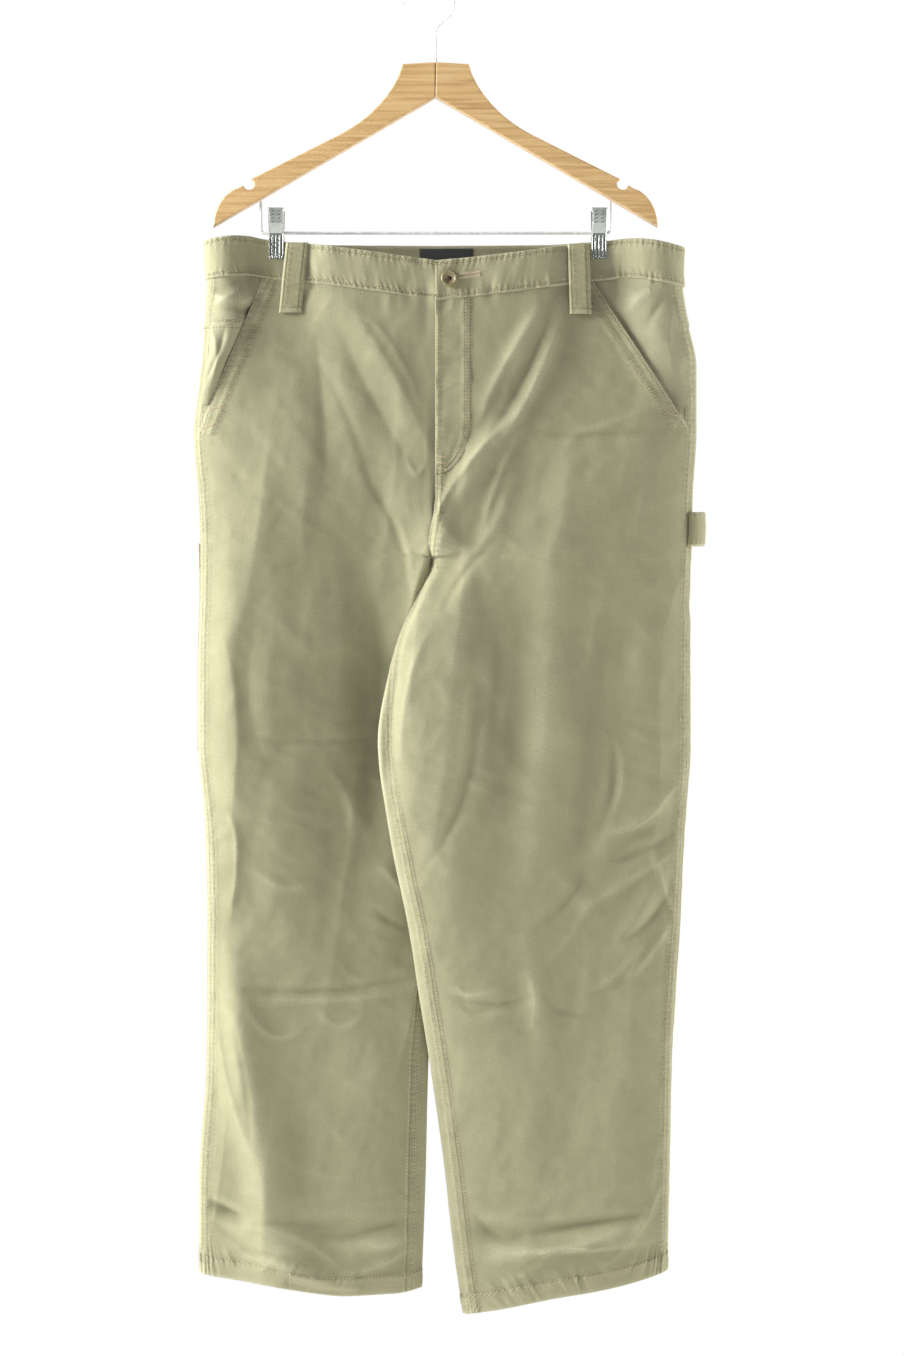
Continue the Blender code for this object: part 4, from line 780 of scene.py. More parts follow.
def cloth_piece(node, leg, ring, drop, lift=0.0, turned=(), depth=1.4, hangs_on="waistband_cloth",
                slot="canvas", finish=None, rows=None):
    """One cloth piece on the surface, which stands for the node of the same name."""
    points, normal, wear_and_painted_light, nearest = surface(leg, ring, drop, lift)
    if rows is not None:
        nearest = np.minimum.reduce(rows)
    normals = grid_normals(points, normal)
    from_end = [np.minimum(np.arange(n), np.arange(n)[::-1]) / 5 for n in points.shape[1::-1]]
    # Paler on ridges, where the wash rubs the dye off and as painted highlight, and darker in the valleys
    # as painted shade.
    ridge_highlight_valley_shade = convexity(points, normals) * ease(np.minimum(*np.meshgrid(*from_end)))
    wear_and_painted_light = np.clip(wear_and_painted_light + 0.3 * ridge_highlight_valley_shade, -1, 1)
    cut = cut_size(points)
    for side in turned:
        points, normals, wear_and_painted_light, nearest = turn_edge(points, normals, wear_and_painted_light, nearest, side, depth)
    made = mesh_piece(node + "_cloth", points, wear_and_painted_light, nearest, cloth_uv(points))
    rows, columns = points.shape[:2]
    middle = (rows - 1) // 2, (columns - 1) // 2
    face = made.data.polygons[middle[0] * (columns - 1) + middle[1]]
    if face.normal.dot(Vector(normals[middle])) < 0:
        made.data.flip_normals()
    return adopt(made, node, slot, *cut, hangs_on, finish)


def adopt(made, node, slot, width, length, area, hangs_on, finish=None):
    """Put a finished piece in the place of its node with its finish, and print its cut."""
    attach(made, "root")
    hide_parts(node)
    made.data.materials.append(MATERIALS[finish or slot])
    area = min(max(area, 0.31 * width * length), width * length)
    print(f"{made.name}: cut {width * 1000:.0f} x {length * 1000:.0f} mm, {area * 1e4:.0f} cm2,",
          len(made.data.polygons), "faces")
    return made


# %% [markdown]
# ## Finishes
#
# One function turns an sRGB hex value to the linear colour that Blender mixes with, and one adds a
# node with its settings and links. Every material below is made with these two.

# %% Helpers for materials
def linear(hex_value):
    """An sRGB hex value as linear RGBA."""
    channels = [int(hex_value[i:i + 2], 16) / 255 for i in (1, 3, 5)]
    return (*(c / 12.92 if c <= 0.04045 else ((c + 0.055) / 1.055) ** 2.4 for c in channels), 1.0)


def add_node(material, kind, settings=None, links=None, **values):
    """Add a node. settings are its own properties, values its sockets, links socket: (node, output)."""
    made = material.node_tree.nodes.new("ShaderNode" + kind)
    for name, value in (settings or {}).items():
        setattr(made, name, value)
    for name, value in values.items():
        made.inputs[name.replace("_", " ")].default_value = value
    for name, (source, output) in (links or {}).items():
        material.node_tree.links.new(source.outputs[output], made.inputs[name])
    return made


def ramp(material, stops, source, output):
    """A colour ramp with the given (position, hex) stops."""
    made = add_node(material, "ValToRGB", links={"Fac": (source, output)})
    elements = made.color_ramp.elements
    while len(elements) < len(stops):
        elements.new(0.5)
    for element, (place, hex_value) in zip(elements, stops):
        element.position, element.color = place, linear(hex_value)
    return made


def new_material(name, **sockets):
    """A material with a Principled shader and its fixed socket values."""
    made = bpy.data.materials.new(name)
    made.use_nodes = True
    shader = made.node_tree.nodes["Principled BSDF"]
    for socket, value in sockets.items():
        shader.inputs[socket.replace("_", " ")].default_value = value
    return made, shader


def join(material, source, output, shader, socket):
    """Link one output to one socket."""
    material.node_tree.links.new(source.outputs[output], shader.inputs[socket])


def mixed(material, share, under, over, blend="MIX"):
    """Mix two colours. Each of share, under and over is a value or a (node, output) pair."""
    made = add_node(material, "Mix", {"data_type": "RGBA", "blend_type": blend})
    for socket, given in ((0, share), (6, under), (7, over)):
        if isinstance(given, tuple) and len(given) == 2:
            join(material, *given, made, socket)
        else:
            made.inputs[socket].default_value = given
    return made, 2


def noise_in(material, place, **values):
    """A noise texture at a (node, output) place."""
    return add_node(material, "TexNoise", links={"Vector": place}, **values)


def bumped(material, shader, height, strength, distance):
    """Give the shader a relief from a (node, output) height."""
    bump = add_node(material, "Bump", links={"Height": height}, Strength=strength, Distance=distance)
    join(material, bump, "Normal", shader, "Normal")


def cloth_place(material, turn=0):
    """Places on the cloth in mm, from its UV map in metres."""
    uv = add_node(material, "UVMap", {"uv_map": "cloth"})
    return add_node(material, "Mapping", links={"Vector": (uv, "UV")}, Scale=(1000, 1000, 1),
                    Rotation=(0, 0, math.radians(turn)))


def speckled(name, stops, scale, detail, distortion=0.0, bump=None, **sockets):
    """A material coloured by one noise in object space, in which bump gives a relief."""
    made, shader = new_material(name, **sockets)
    place = add_node(made, "TexCoord")
    grain = noise_in(made, (place, "Object"), Scale=scale, Detail=detail, Distortion=distortion)
    join(made, ramp(made, stops, grain, "Fac"), "Color", shader, "Base Color")
    if bump:
        bumped(made, shader, (grain, "Fac"), *bump)
    return made, shader, grain


# %% [markdown]
# ### Washed cotton canvas
#
# The cloth is a heavy cotton twill, piece-dyed khaki and washed soft. What the eye gets is matt:
# a diffuse colour, a faint sheen from broken fibres, yarns that took the dye unevenly, and paler
# lines where the wash rubbed the dye off seams and ridges. Ridges and pucker crests are paler
# still as painted highlight, and valleys, pucker hollows and the grooves along the stitches are
# darker as painted shade. The twill line is 0.9 mm apart on the real cloth, finer than a pixel of
# the picture, so it is drawn 1.9 mm apart, at a low contrast.

# %% Canvas
TWILL_PITCH = 1.9       # mm between twill lines, about twice the real one so that it shows
YARN = 1.1              # mm across one yarn
SLUB = 22.0             # mm that a thick place in a yarn runs
RIB_PITCH = 5.6         # mm between the little ribs that a shrunken row of stitches pulls up
WAVE = 0.314            # scale of a wave texture with lines 1 apart


def canvas(name, dark_heather_and_valley_shade, body, light, worn_and_painted_light, turn=0):
    """Canvas from four sRGB colours: its darkest heather, also the painted shade of valleys; the cloth; its
    palest heather; and its rubbed edges, also the painted highlight of ridges and pucker crests.
    """
    made, shader = new_material(name, Roughness=0.9, Sheen_Weight=0.08, Sheen_Roughness=0.5,
                                Specular_IOR_Level=0.2, Sheen_Tint=linear("#e9e4cc"))
    flat = cloth_place(made, turn)
    here = (flat, "Vector")
    twill_at = add_node(made, "Mapping", links={"Vector": here}, Rotation=(0, 0, math.radians(27)))
    twill = add_node(made, "TexWave", {"wave_type": "BANDS"}, {"Vector": (twill_at, "Vector")},
                     Scale=WAVE / TWILL_PITCH, Distortion=0.8, Detail=1.0, Detail_Scale=2.0)
    warp_at = add_node(made, "Mapping", links={"Vector": here}, Scale=(1 / YARN, 1 / SLUB, 1))
    warp = noise_in(made, (warp_at, "Vector"), Scale=1.0, Detail=2.0)
    blotch = noise_in(made, here, Scale=1 / 60, Detail=3.0)
    fibre = noise_in(made, here, Scale=0.45, Detail=4.0)
    heather = noise_in(made, here, Scale=1 / 9, Detail=3.0)

    def scaled(source, output, share, onto=None):
        total = add_node(made, "Math", {"operation": "MULTIPLY_ADD"}, {0: (source, output)})
        total.inputs[1].default_value = share
        total.inputs[2].default_value = 0.0
        if onto is not None:
            join(made, onto, "Value", total, 2)
        return total

    def near_row(first, last):
        return add_node(made, "MapRange", {"interpolation_type": "SMOOTHSTEP"}, {"Value": (row, "Fac")},
                        From_Min=first, From_Max=last, To_Min=1.0, To_Max=0.0)

    # The cloth's own colour.
    yarns = scaled(warp, "Fac", 0.2, scaled(twill, "Fac", 0.14))
    mottled = scaled(fibre, "Fac", 0.4, yarns)
    mottled = scaled(blotch, "Fac", 0.3, scaled(heather, "Fac", 0.14, mottled))
    spread = add_node(made, "MapRange", links={"Value": (mottled, "Value")}, From_Min=0.18, From_Max=1.0)
    tone = ramp(made, ((0.0, dark_heather_and_valley_shade), (0.5, body), (1.0, light)), spread, "Result")

    # Paler where it is rubbed and, as painted highlight, on ridges and pucker crests; darker as painted
    # shade in valleys, pucker hollows and the grooves along the stitches.
    rubbed_and_painted_light = add_node(made, "Attribute", {"attribute_name": "wear_and_painted_light"})
    patchy = add_node(made, "MapRange", links={"Value": (fibre, "Fac")}, From_Min=0.35, From_Max=0.65,
                      To_Min=0.5, To_Max=0.9)
    amount = add_node(made, "Math", {"operation": "MULTIPLY", "use_clamp": True},
                      {0: (rubbed_and_painted_light, "Fac"), 1: (patchy, "Result")})
    paler_rubbed_and_highlit = mixed(made, (amount, "Value"), (tone, "Color"), linear(worn_and_painted_light))
    # Painted shade: below 0 the attribute darkens the colour towards the darkest heather.
    sunk = add_node(made, "MapRange", links={"Value": (rubbed_and_painted_light, "Fac")}, From_Min=0.0, From_Max=-1.0,
                    To_Max=0.8)
    with_valley_shade = mixed(made, (sunk, "Result"), paler_rubbed_and_highlit, linear(dark_heather_and_valley_shade))
    row = add_node(made, "Attribute", {"attribute_name": "stitched"})
    # Painted shade in the grooves along the stitched rows.
    groove = near_row(0.2, 1.5)
    shaded = mixed(made, (scaled(groove, "Result", 0.4), "Value"), with_valley_shade, linear("#9d9880"), "MULTIPLY")
    join(made, *shaded, shader, "Base Color")

    # The relief: a groove at the stitches, gathers and little ribs beside it, and the yarns.
    near = (near_row(0.5, 6.5), "Result")
    gather = noise_in(made, here, Scale=1 / 4.5, Detail=1.0)
    ribs = add_node(made, "TexWave", {"wave_type": "BANDS", "bands_direction": "Y"}, {"Vector": here},
                    Scale=WAVE / RIB_PITCH, Distortion=2.2, Detail=1.0, Detail_Scale=1.4)
    gathered, ribbed = (add_node(made, "Math", {"operation": "MULTIPLY"}, {0: near, 1: (each, "Fac")})
                        for each in (gather, ribs))
    sewn = scaled(gathered, "Value", 0.95, scaled(groove, "Result", -0.6))
    sewn = scaled(ribbed, "Value", 0.6, sewn)
    bumped(made, shader, (scaled(yarns, "Value", 0.12, sewn), "Value"), 0.6, 0.001)
    return made


MATERIALS = {
    "canvas": canvas("washed_cotton_canvas", "#77745b", "#8b896d", "#9d9b80", "#b3b195"),
    "band_canvas": canvas("waistband_canvas", "#7c795f", "#918e72", "#a3a085", "#b9b69b", 90),
    "canvas_edge": canvas("folded_canvas_strips", "#79765c", "#8d8a6d", "#9f9c7f", "#b7b497", 90),
    "facing_canvas": canvas("pocket_facing_canvas", "#7b795f", "#908e73", "#a2a086", "#b8b69b"),
}

# %% [markdown]
# ### Thread, label, button, beech and plated steel
#
# Small things are seen at a few pixels, so one noise, in the scale of the material's own grain, gives
# each its colour: the thread's twist, the button's growth rings, the dull spots of plating. The label
# is a satin weave with ribs 0.5 mm apart, drawn at 1 mm. Beech has flecks 2 to 3 mm long.

# %% Thread and label
def damask_label():
    """Polyester satin weave, black and plain, with fine ribs across."""
    made, shader = new_material("black_woven_label", Roughness=0.5, Sheen_Weight=0.25)
    here = (cloth_place(made), "Vector")
    ribs = add_node(made, "TexWave", {"wave_type": "BANDS", "bands_direction": "Y"}, {"Vector": here},
                    Scale=WAVE, Distortion=0.4)
    threads = noise_in(made, here, Scale=0.8, Detail=4.0)
    both = add_node(made, "Math", {"operation": "MULTIPLY"}, {0: (ribs, "Fac"), 1: (threads, "Fac")})
    tone = ramp(made, ((0.0, "#202221"), (0.6, "#3a3d39")), both, "Value")
    join(made, tone, "Color", shader, "Base Color")
    bumped(made, shader, (ribs, "Fac"), 0.3, 0.0002)
    return made


# Polyester-cotton sewing thread, a shade lighter than the cloth: satin, with a visible twist.
MATERIALS["thread"], *_ = speckled("core_spun_thread", ((0.3, "#a0937a"), (0.7, "#bcae92")), 1400.0, 2.0,
                                   Roughness=0.6, Sheen_Weight=0.2)
MATERIALS["label"] = damask_label()

# %% Button and tack
# A turned nut button: brown-olive with darker grain rings, polished but scuffed.
MATERIALS["button"], *_ = speckled("turned_corozo", ((0.25, "#4c4430"), (0.5, "#776d4c"), (0.8, "#968c68")),
                                   420.0, 4.0, 1.2, (0.15, 0.0003), Roughness=0.38, IOR=1.5)
# The tack's head: blackened brass, worn a little brighter in spots.
MATERIALS["tack"], *_ = speckled("burnished_brass", ((0.3, "#2b261c"), (0.75, "#5d5238")), 900.0, 3.0,
                                 Metallic=0.85, Roughness=0.42)


# %% Beech
def lacquered_beech():
    """Steamed beech, planed and lacquered: short flecks along the grain, soft gloss."""
    made, shader = new_material("lacquered_beech", Roughness=0.36, IOR=1.5, Coat_Weight=0.25,
                                Coat_Roughness=0.2)
    place = add_node(made, "TexCoord")
    mm = add_node(made, "Mapping", links={"Vector": (place, "Object")}, Scale=(1000, 1000, 1000))
    grain_at = add_node(made, "Mapping", links={"Vector": (mm, "Vector")}, Scale=(1 / 70, 1 / 3, 1 / 3.2),
                        Rotation=(0, math.radians(12), 0))
    grain = noise_in(made, (grain_at, "Vector"), Scale=1.0, Detail=5.0, Distortion=0.6)
    fleck_at = add_node(made, "Mapping", links={"Vector": (mm, "Vector")}, Scale=(1 / 3, 2, 2))
    fleck = noise_in(made, (fleck_at, "Vector"), Scale=1.0, Detail=2.0)
    tone = ramp(made, ((0.3, "#a98757"), (0.5, "#c2a06d"), (0.75, "#d2b483")), grain, "Fac")
    flecked = ramp(made, ((0.60, "#ffffff"), (0.72, "#c9a878")), fleck, "Fac")
    join(made, *mixed(made, 0.7, (tone, "Color"), (flecked, "Color"), "MULTIPLY"), shader, "Base Color")
    bumped(made, shader, (grain, "Fac"), 0.12, 0.0004)
    return made


MATERIALS["wood"] = lacquered_beech()

# %% Plated steel, wire and the painted shade of punched holes
# Drawn and pressed steel, nickel plated: bright metal with dull spots.
steel, shader, dull = speckled("nickel_plated_steel", ((0.3, "#a9ada9"), (0.7, "#c6cac6")), 60.0, 2.0,
                               Metallic=1.0, Roughness=0.24)
rough = add_node(steel, "MapRange", links={"Value": (dull, "Fac")}, From_Min=0.3, From_Max=0.7,
                 To_Min=0.16, To_Max=0.34)
join(steel, rough, "Result", shader, "Roughness")
MATERIALS["steel"] = steel
# Steel wire with a dull white-zinc coat, pale in a white room, mottled where the coat is thin.
MATERIALS["wire"], *_ = speckled("white_zinc_wire", ((0.3, "#cfd0ce"), (0.7, "#ecedeb")), 220.0, 3.0,
                                 Metallic=0.35, Roughness=0.5)
# Dark strips of painted shade for the slots punched through the plated sheet and for the valleys between
# the clip's ribs, with a paler noise as the painted gleam of the burr.
MATERIALS["painted_hole_and_groove_shade"], *_ = speckled("shaded_punched_steel", ((0.35, "#2c2d2c"), (0.8, "#6c6e6b")),
                                         1500.0, 2.0, Roughness=0.7)
print("materials", ", ".join(m.name for m in MATERIALS.values()))


# %% [markdown]
# ## Front and back panels
#
# Cut flat, sewn at the side and the inside leg. The points of a panel's grid are spread evenly
# between its seams, about 2.3 mm apart in front, where the folds are seen closely, and 3.4 mm behind.
# The top goes 3 mm in under the waistband and the foot 3 mm in under the hem.

# %% Panels
TUCK = 3.0              # mm that a panel goes in under the band and the hem
FRONT_STEP, BACK_STEP = 2.3, 3.4
SEAM_UNDER = 0.05       # of the ring: how far the back runs under the front


def front_start(drop):
    """Ring where a front begins: the centre seam, then the inseam."""
    return np.where(drop < CROTCH, -turn_under("front", drop), inseam(drop))


def back_start(drop):
    return outseam(drop) - SEAM_UNDER


def back_end(drop):
    under = SEAM_UNDER * ease((drop - CROTCH) / 20)
    return np.where(drop < CROTCH, 4 + turn_under("back", drop), 6 + inseam(drop) + under)


def back_lift(ring, drop):
    """The back's seam allowances run on under the front."""
    past = ease((outseam(drop) - ring) / 0.02) + ease((ring - 6 - inseam(drop)) / 0.02) * (drop > CROTCH)
    return -0.5 * past


def front_end(leg):
    """Ring where a front ends: the slanted pocket edge, then the side seam."""
    def at(drop):
        return np.minimum(outseam(drop), ring_at(leg, "front", slant_out(leg, drop), drop))
    return at


def panel_grid(leg, first_at, last_at, top_at, foot_at, step):
    """Ring coordinates and drops of a panel's grid between two seams."""
    first_drop, last_drop = (float(at(leg, np.array([1.0])).mean()) for at in (top_at, foot_at))
    drops = np.linspace(first_drop, last_drop, int((last_drop - first_drop) / step))
    columns = int(290 / step)
    shares = []
    for drop in drops[::6]:
        ends = float(first_at(drop)), float(last_at(drop))
        shares.append((even_ring(leg, *ends, drop, columns, 0.62) - ends[0]) / (ends[1] - ends[0]))
    shares = np.array(shares)
    rows = np.arange(len(drops)) / 6
    known = np.arange(len(shares))
    shares = np.stack([np.interp(rows, known, shares[:, c]) for c in range(columns)], axis=1)
    drop = drops[:, None] + 0 * shares
    reach = 90.0        # mm over which the rows even out from the sloped ends
    for _ in range(4):
        first, last = first_at(drop), last_at(drop)
        ring = first + shares * (last - first)
        top, foot = top_at(leg, ring[0]), foot_at(leg, ring[-1])
        drop = drops[:, None] + (top - first_drop) * ease(1 - (drops[:, None] - first_drop) / reach)
        drop = drop + (foot - last_drop) * ease(1 - (last_drop - drops[:, None]) / reach)
    return ring, drop


def under_band(leg, ring):
    return waist_drop(leg, ring) + BAND_HEIGHT - TUCK


def yoke_drop(leg, ring):
    """Drop of the seam below a yoke."""
    return smooth_through(YOKE_LINE, out_at(leg, ring, 350.0))


def over_hem(leg, ring):
    return hem_drop(leg, ring) - HEM_HEIGHT + TUCK


for leg in SIGN:
    ring, drop = panel_grid(leg, front_start, front_end(leg), under_band, over_hem, FRONT_STEP)
    cloth_piece(f"front_{leg}", leg, ring, drop, turned=("start", "end"), depth=0.45)
    ring, drop = panel_grid(leg, back_start, back_end, yoke_drop, over_hem, BACK_STEP)
    cloth_piece(f"back_{leg}", leg, ring, drop, back_lift(ring, drop), hangs_on=f"yoke_{leg}_cloth")

# %% [markdown]
# ## Yokes
#
# The shaped strip over each back panel. Its lower edge lies over the panel by a felled seam, so it
# runs 6 mm past the seam line and stands 0.9 mm higher there, but lies flush at its top and its side.

# %% Yokes
YOKE_OVER, YOKE_ROWS, YOKE_COLUMNS = 6.0, 26, 90
for leg in SIGN:
    side = outseam(330.0)
    ring = even_ring(leg, float(side), 4.0, 330.0, YOKE_COLUMNS)
    top, foot = under_band(leg, ring), yoke_drop(leg, ring) + YOKE_OVER
    down, along = np.linspace(0, 1, YOKE_ROWS)[:, None], np.linspace(0, 1, YOKE_COLUMNS)
    drop = top + (foot - top) * down
    first = outseam(drop[:, :1])
    ring = first + (ring - side) / (4.0 - side) * (4.0 - first)
    lift = 0.1 + 0.8 * ease(down * 3) * ease(along * 20)
    cloth_piece(f"yoke_{leg}", leg, ring, drop, lift, turned=("end", "foot"))

# %% [markdown]
# ## Front pockets
#
# Behind each slanted edge lies the facing: the piece of canvas that shows in the opening, level with
# the front at the side seam and a few millimetres behind it at the slant. The small coin pocket is
# sewn on the wearer's right facing and gapes a little at its top.

# %% Facings and coin pocket
FACING_BEHIND = 16.0                            # how far it runs in behind the front
FACING_SUNK = {"right": 1.8, "left": 3.0}       # how far it lies behind the pocket's edge
FACING_FULL = {"right": 7.5, "left": 0.6}       # how far the pocket bag pushes it out
COIN_TOP, COIN_FOOT, COIN_IN = 341.0, 425.0, 1.5
COIN_ROWS = (2.2, 8.0)
# Where a pocket's edge gapes: drop, half length and depth.
GAPES = {"right": ((331, 6, 5.0), (383, 16, 2.4)), "left": ((352, 22, 1.2), (420, 12, 1.5))}


def facing_lift(leg, ring, drop):
    """How far the facing lies behind the level of the front."""
    out = SIGN[leg] * bare_point(leg, ring, drop)[..., 0]
    past = (out - slant_out(leg, drop)) * slant_share(leg)
    width = np.maximum((outseam(drop) - ring_at(leg, "front", slant_out(leg, drop), drop)) * 60, 1)
    shown = ease(past / np.minimum(width, 30)) * ease((width - 6) / 10)
    sunk = FACING_SUNK[leg] + sum(deep * bell((drop - at) / reach) for at, reach, deep in GAPES[leg])
    arch = np.sin(math.pi * np.clip(past / np.maximum(width, 20), 0, 1) ** 0.65)
    full = FACING_FULL[leg] * arch * ease((drop - 300) / 30)
    return (full - sunk * (1 - shown)) * ease(width / 16)


share = np.linspace(0, 1, 46)
for leg in SIGN:
    foot_out, foot_drop = SLANT[leg][1]
    levels = np.linspace(298.0, 492.0, 85)[:, None]
    drop = levels + 0 * share
    for _ in range(4):
        edge = np.minimum(slant_out(leg, drop), foot_out)
        first, last = ring_at(leg, "front", edge - FACING_BEHIND, drop), outseam(drop) + 0.03
        ring = first + share * (last - first)
        drop = levels + (under_band(leg, ring[0]) - levels[0]) * ease(1 - (levels - levels[0]) / 90.0)
    hidden = -2.5 * ease((drop - foot_drop + 4) / 20)
    cloth_piece(f"pocket_panel_{leg}", leg, ring, drop, facing_lift(leg, ring, drop) + hidden,
                turned=("end",), depth=0.8, finish="facing_canvas")

drop = np.linspace(COIN_TOP, COIN_FOOT, 40)[:, None] + 0 * share
first = ring_at("right", "front", slant_out("right", drop[:, :1]) + COIN_IN, drop[:, :1])
ring = first + share * (outseam(drop[:, :1]) - 0.006 - first)
gaping = 1.5 + 1.4 * bell((drop - COIN_TOP) / 9) * np.sin(math.pi * share) ** 0.6
cloth_piece("coin_pocket", "right", ring, drop, facing_lift("right", ring, drop) + gaping,
            turned=("top", "start", "foot"), depth=2.0, hangs_on="pocket_panel_right_cloth",
            slot="canvas_edge", finish="facing_canvas",
            rows=[np.abs(drop - COIN_TOP - row) for row in COIN_ROWS])

# %% [markdown]
# ## Fly
#
# The front edge of the wearer's left front laps over the right. Its facing makes a J-shaped area a
# little thicker than the rest, which ends just outside the curved stitching.

# %% Fly
FLY_WIDTH, FLY_STRAIGHT, FLY_DROP = 37.0, 442.0, 496.0      # the J's width, end of its straight part, foot
FLY_ROWS, FLY_EDGE_ROW = (1.6, 6.8), 2.4        # rows from the J's outer edge, and one at its front edge


def fly_edge(drop, inside=0.0):
    """Distance of the J's outer edge, or of a line inside it, from the middle."""
    down = np.clip((drop - FLY_STRAIGHT) / (FLY_DROP - inside - FLY_STRAIGHT), 0, 1)
    return (FLY_WIDTH - inside) * np.sqrt(np.maximum(1 - down ** 2, 0))


def fly_grid():
    """Ring, drop, lift and distances to the stitched rows of the J's grid."""
    down = np.sin(np.linspace(0, math.pi / 2, 120)) ** 0.9
    top = float(waist_drop("left", np.array([0.1]))[0]) + BAND_HEIGHT - TUCK
    drop = (top + (FLY_DROP - 0.5 - top) * down)[:, None] + np.zeros(30)
    out = 0.4 + np.linspace(0, 1, 30) * np.maximum(fly_edge(drop) - 0.4, 0.4)
    to_edge = fly_edge(drop) - out
    lift = -0.5 + 1.3 * ease(to_edge / 3.5) + pucker(to_edge, drop, 4.0, 6, 0.55, 6.0, 81)
    lift += 1.3 * streaks((drop + 0.25 * out) / 12, out / 26, 82, 0.7) * ease(out / 3) * ease(to_edge / 2)
    rows = [np.abs(to_edge - row) for row in FLY_ROWS] + [np.abs(out - FLY_EDGE_ROW) + 0.6]
    return ring_at("left", "front", out, drop), drop, lift, rows


ring, drop, lift, rows = fly_grid()
cloth_piece("fly", "left", ring, drop, lift, turned=("start",), depth=1.7, hangs_on="front_left_cloth",
            rows=rows)

# %% [markdown]
# ## Waistband
#
# One long strip of two layers, folded at both edges and stitched down along them. It starts under
# the button, goes round the wearer's right side and the back, and ends over its own start. A closed
# profile is swept along it; the two stitched rows pull its face in, and it puckers between them.

# %% Closed strips
def profile_rows(height, outer, inner, count, round_by):
    """A strip's closed profile as shares of its height and lifts: face, foot, back and top."""
    corner = round_by / height
    face = np.linspace(corner, 1 - corner, count)
    middle, half = (outer + inner) / 2, (outer - inner) / 2
    turn = np.radians(np.linspace(60, -60, 5))
    foot = [(1 - corner + corner * math.cos(a), middle + half * math.sin(a)) for a in turn]
    top = [(corner - corner * math.cos(a), middle - half * math.sin(a)) for a in turn]
    rows = [(s, outer) for s in face] + foot + [(s, inner) for s in face[::-3]] + top
    return np.array(rows + rows[:1])


def strip_mesh(node, points, wear_and_painted_light, nearest, finish, slot, hangs_on, length, width, ends=True):
    """A closed strip from rows that go round its profile."""
    uv = cloth_uv(points)
    if ends:
        middle = np.repeat(points.mean(axis=0, keepdims=True), len(points), axis=0)
        points = np.concatenate([middle[:, :1], points, middle[:, -1:]], axis=1)
        uv, wear_and_painted_light, nearest = (np.concatenate([each[:, :1], each, each[:, -1:]], axis=1)
                             for each in (uv, wear_and_painted_light, nearest))
    made = mesh_piece(node + "_cloth", points, wear_and_painted_light, nearest, uv, closed=True)
    cleaned(made.data, outside=True)
    return adopt(made, node, slot, width * MM, length * MM, width * length * MM * MM, hangs_on, finish)


# %% Waistband
BAND_OUTER, BAND_INNER = 1.8, -1.3      # how far its face and its back lie from the surface
BAND_UNDERLAP = 34.0    # how far the under end runs past the middle
BAND_STITCH = 4.0       # stitched rows, from each edge
LAP = 3.0               # how far the under end is sunk
TURNED_IN = 1.5         # what the folds add to a strip's cut


def band_stretches():
    """The band's columns from its under end to its button end."""
    under = ring_at("left", "front", np.linspace(BAND_UNDERLAP, 2, 15), np.full(15, 290.0))
    right = even_ring("right", 0.0, 4.0, 290.0, 320)
    left = even_ring("left", 0.0, 4.0, 290.0, 335)[::-1]
    return (("left", under), ("right", right), ("left", left[1:]))


def band_ripple(slanting, along, down, from_edge):
    """Puckers along the two stitched rows, with slower unevenness and little ribs between them."""
    ripple = 0.5 * lattice_noise(slanting / 6.5, from_edge / 12 + 4, 71)
    ripple = ripple * bell((from_edge - BAND_STITCH) / 7)
    ripple = ripple + 0.5 * lattice_noise(slanting / 8.5, down * 1.6, 73)
    ripple = ripple + 0.8 * lattice_noise(along / 34, down * 1.6, 72)
    ribs = np.sin(slanting * 2 * math.pi / 6.3 + 2 * ripple) * bell((from_edge - BAND_STITCH) / 10)
    return ripple + 0.26 * ribs * (0.4 + 0.6 * ease(0.5 + lattice_noise(along / 30, down, 74)))


profile = profile_rows(BAND_HEIGHT, BAND_OUTER, BAND_INNER, 27, 1.1)
down, base_lift = profile[:, :1], profile[:, 1:]
on_face = (base_lift > 0).astype(float)
from_edge = np.minimum(down, 1 - down) * BAND_HEIGHT
parts, worn_and_painted_light, rows, walked = [], [], [], 0.0
for number, (leg, ring) in enumerate(band_stretches()):
    drop = waist_drop(leg, ring) + down * BAND_HEIGHT
    out = out_at(leg, ring, 290.0)
    along = walked + np.concatenate([[0], np.cumsum(np.abs(np.diff(out)))])
    walked = along[-1] + 2
    sink = LAP if number == 0 else LAP * (1 - ease(out / 60)) * (ring < 2) * (number == 1)
    held = np.exp(-((np.abs(out) - CLIP_AT[leg]) / 14) ** 4)
    ripple = band_ripple(along + 7 * down * np.sin(along / 55), along, down, from_edge)
    groove = -0.25 * bell((from_edge - BAND_STITCH) / 1.5)
    face = groove + ripple * (1 - held) + 0.25 * np.sin(math.pi * down) - 0.85 * held
    parts.append(surface(leg, ring + 0 * drop, drop, base_lift - sink + on_face * face)[0])
    # Paler along the folded edges, where they are rubbed; pucker crests paler as painted highlight and
    # pucker hollows darker as painted shade.
    worn_and_painted_light.append(np.clip(0.3 * bell(from_edge / 1.4) + 0.2 * ripple * on_face + 0 * drop, -1, 1))
    rows.append(np.where(on_face > 0, np.abs(from_edge - BAND_STITCH), NO_ROW) + 0 * drop)
points, worn_and_painted_light, rows = (np.concatenate(each, axis=1) for each in (parts, worn_and_painted_light, rows))
strip_mesh("waistband", points, worn_and_painted_light, rows, "band_canvas", "canvas", "clip_right",
           walked_along(points[13])[-1], BAND_HEIGHT + TURNED_IN)

# %% [markdown]
# ## Hems
#
# The leg's own canvas, turned up twice and stitched 18.4 mm above the fold. Outside nothing marks the
# hem but that row and the slanting puckers, called roping, that the turned layers make.

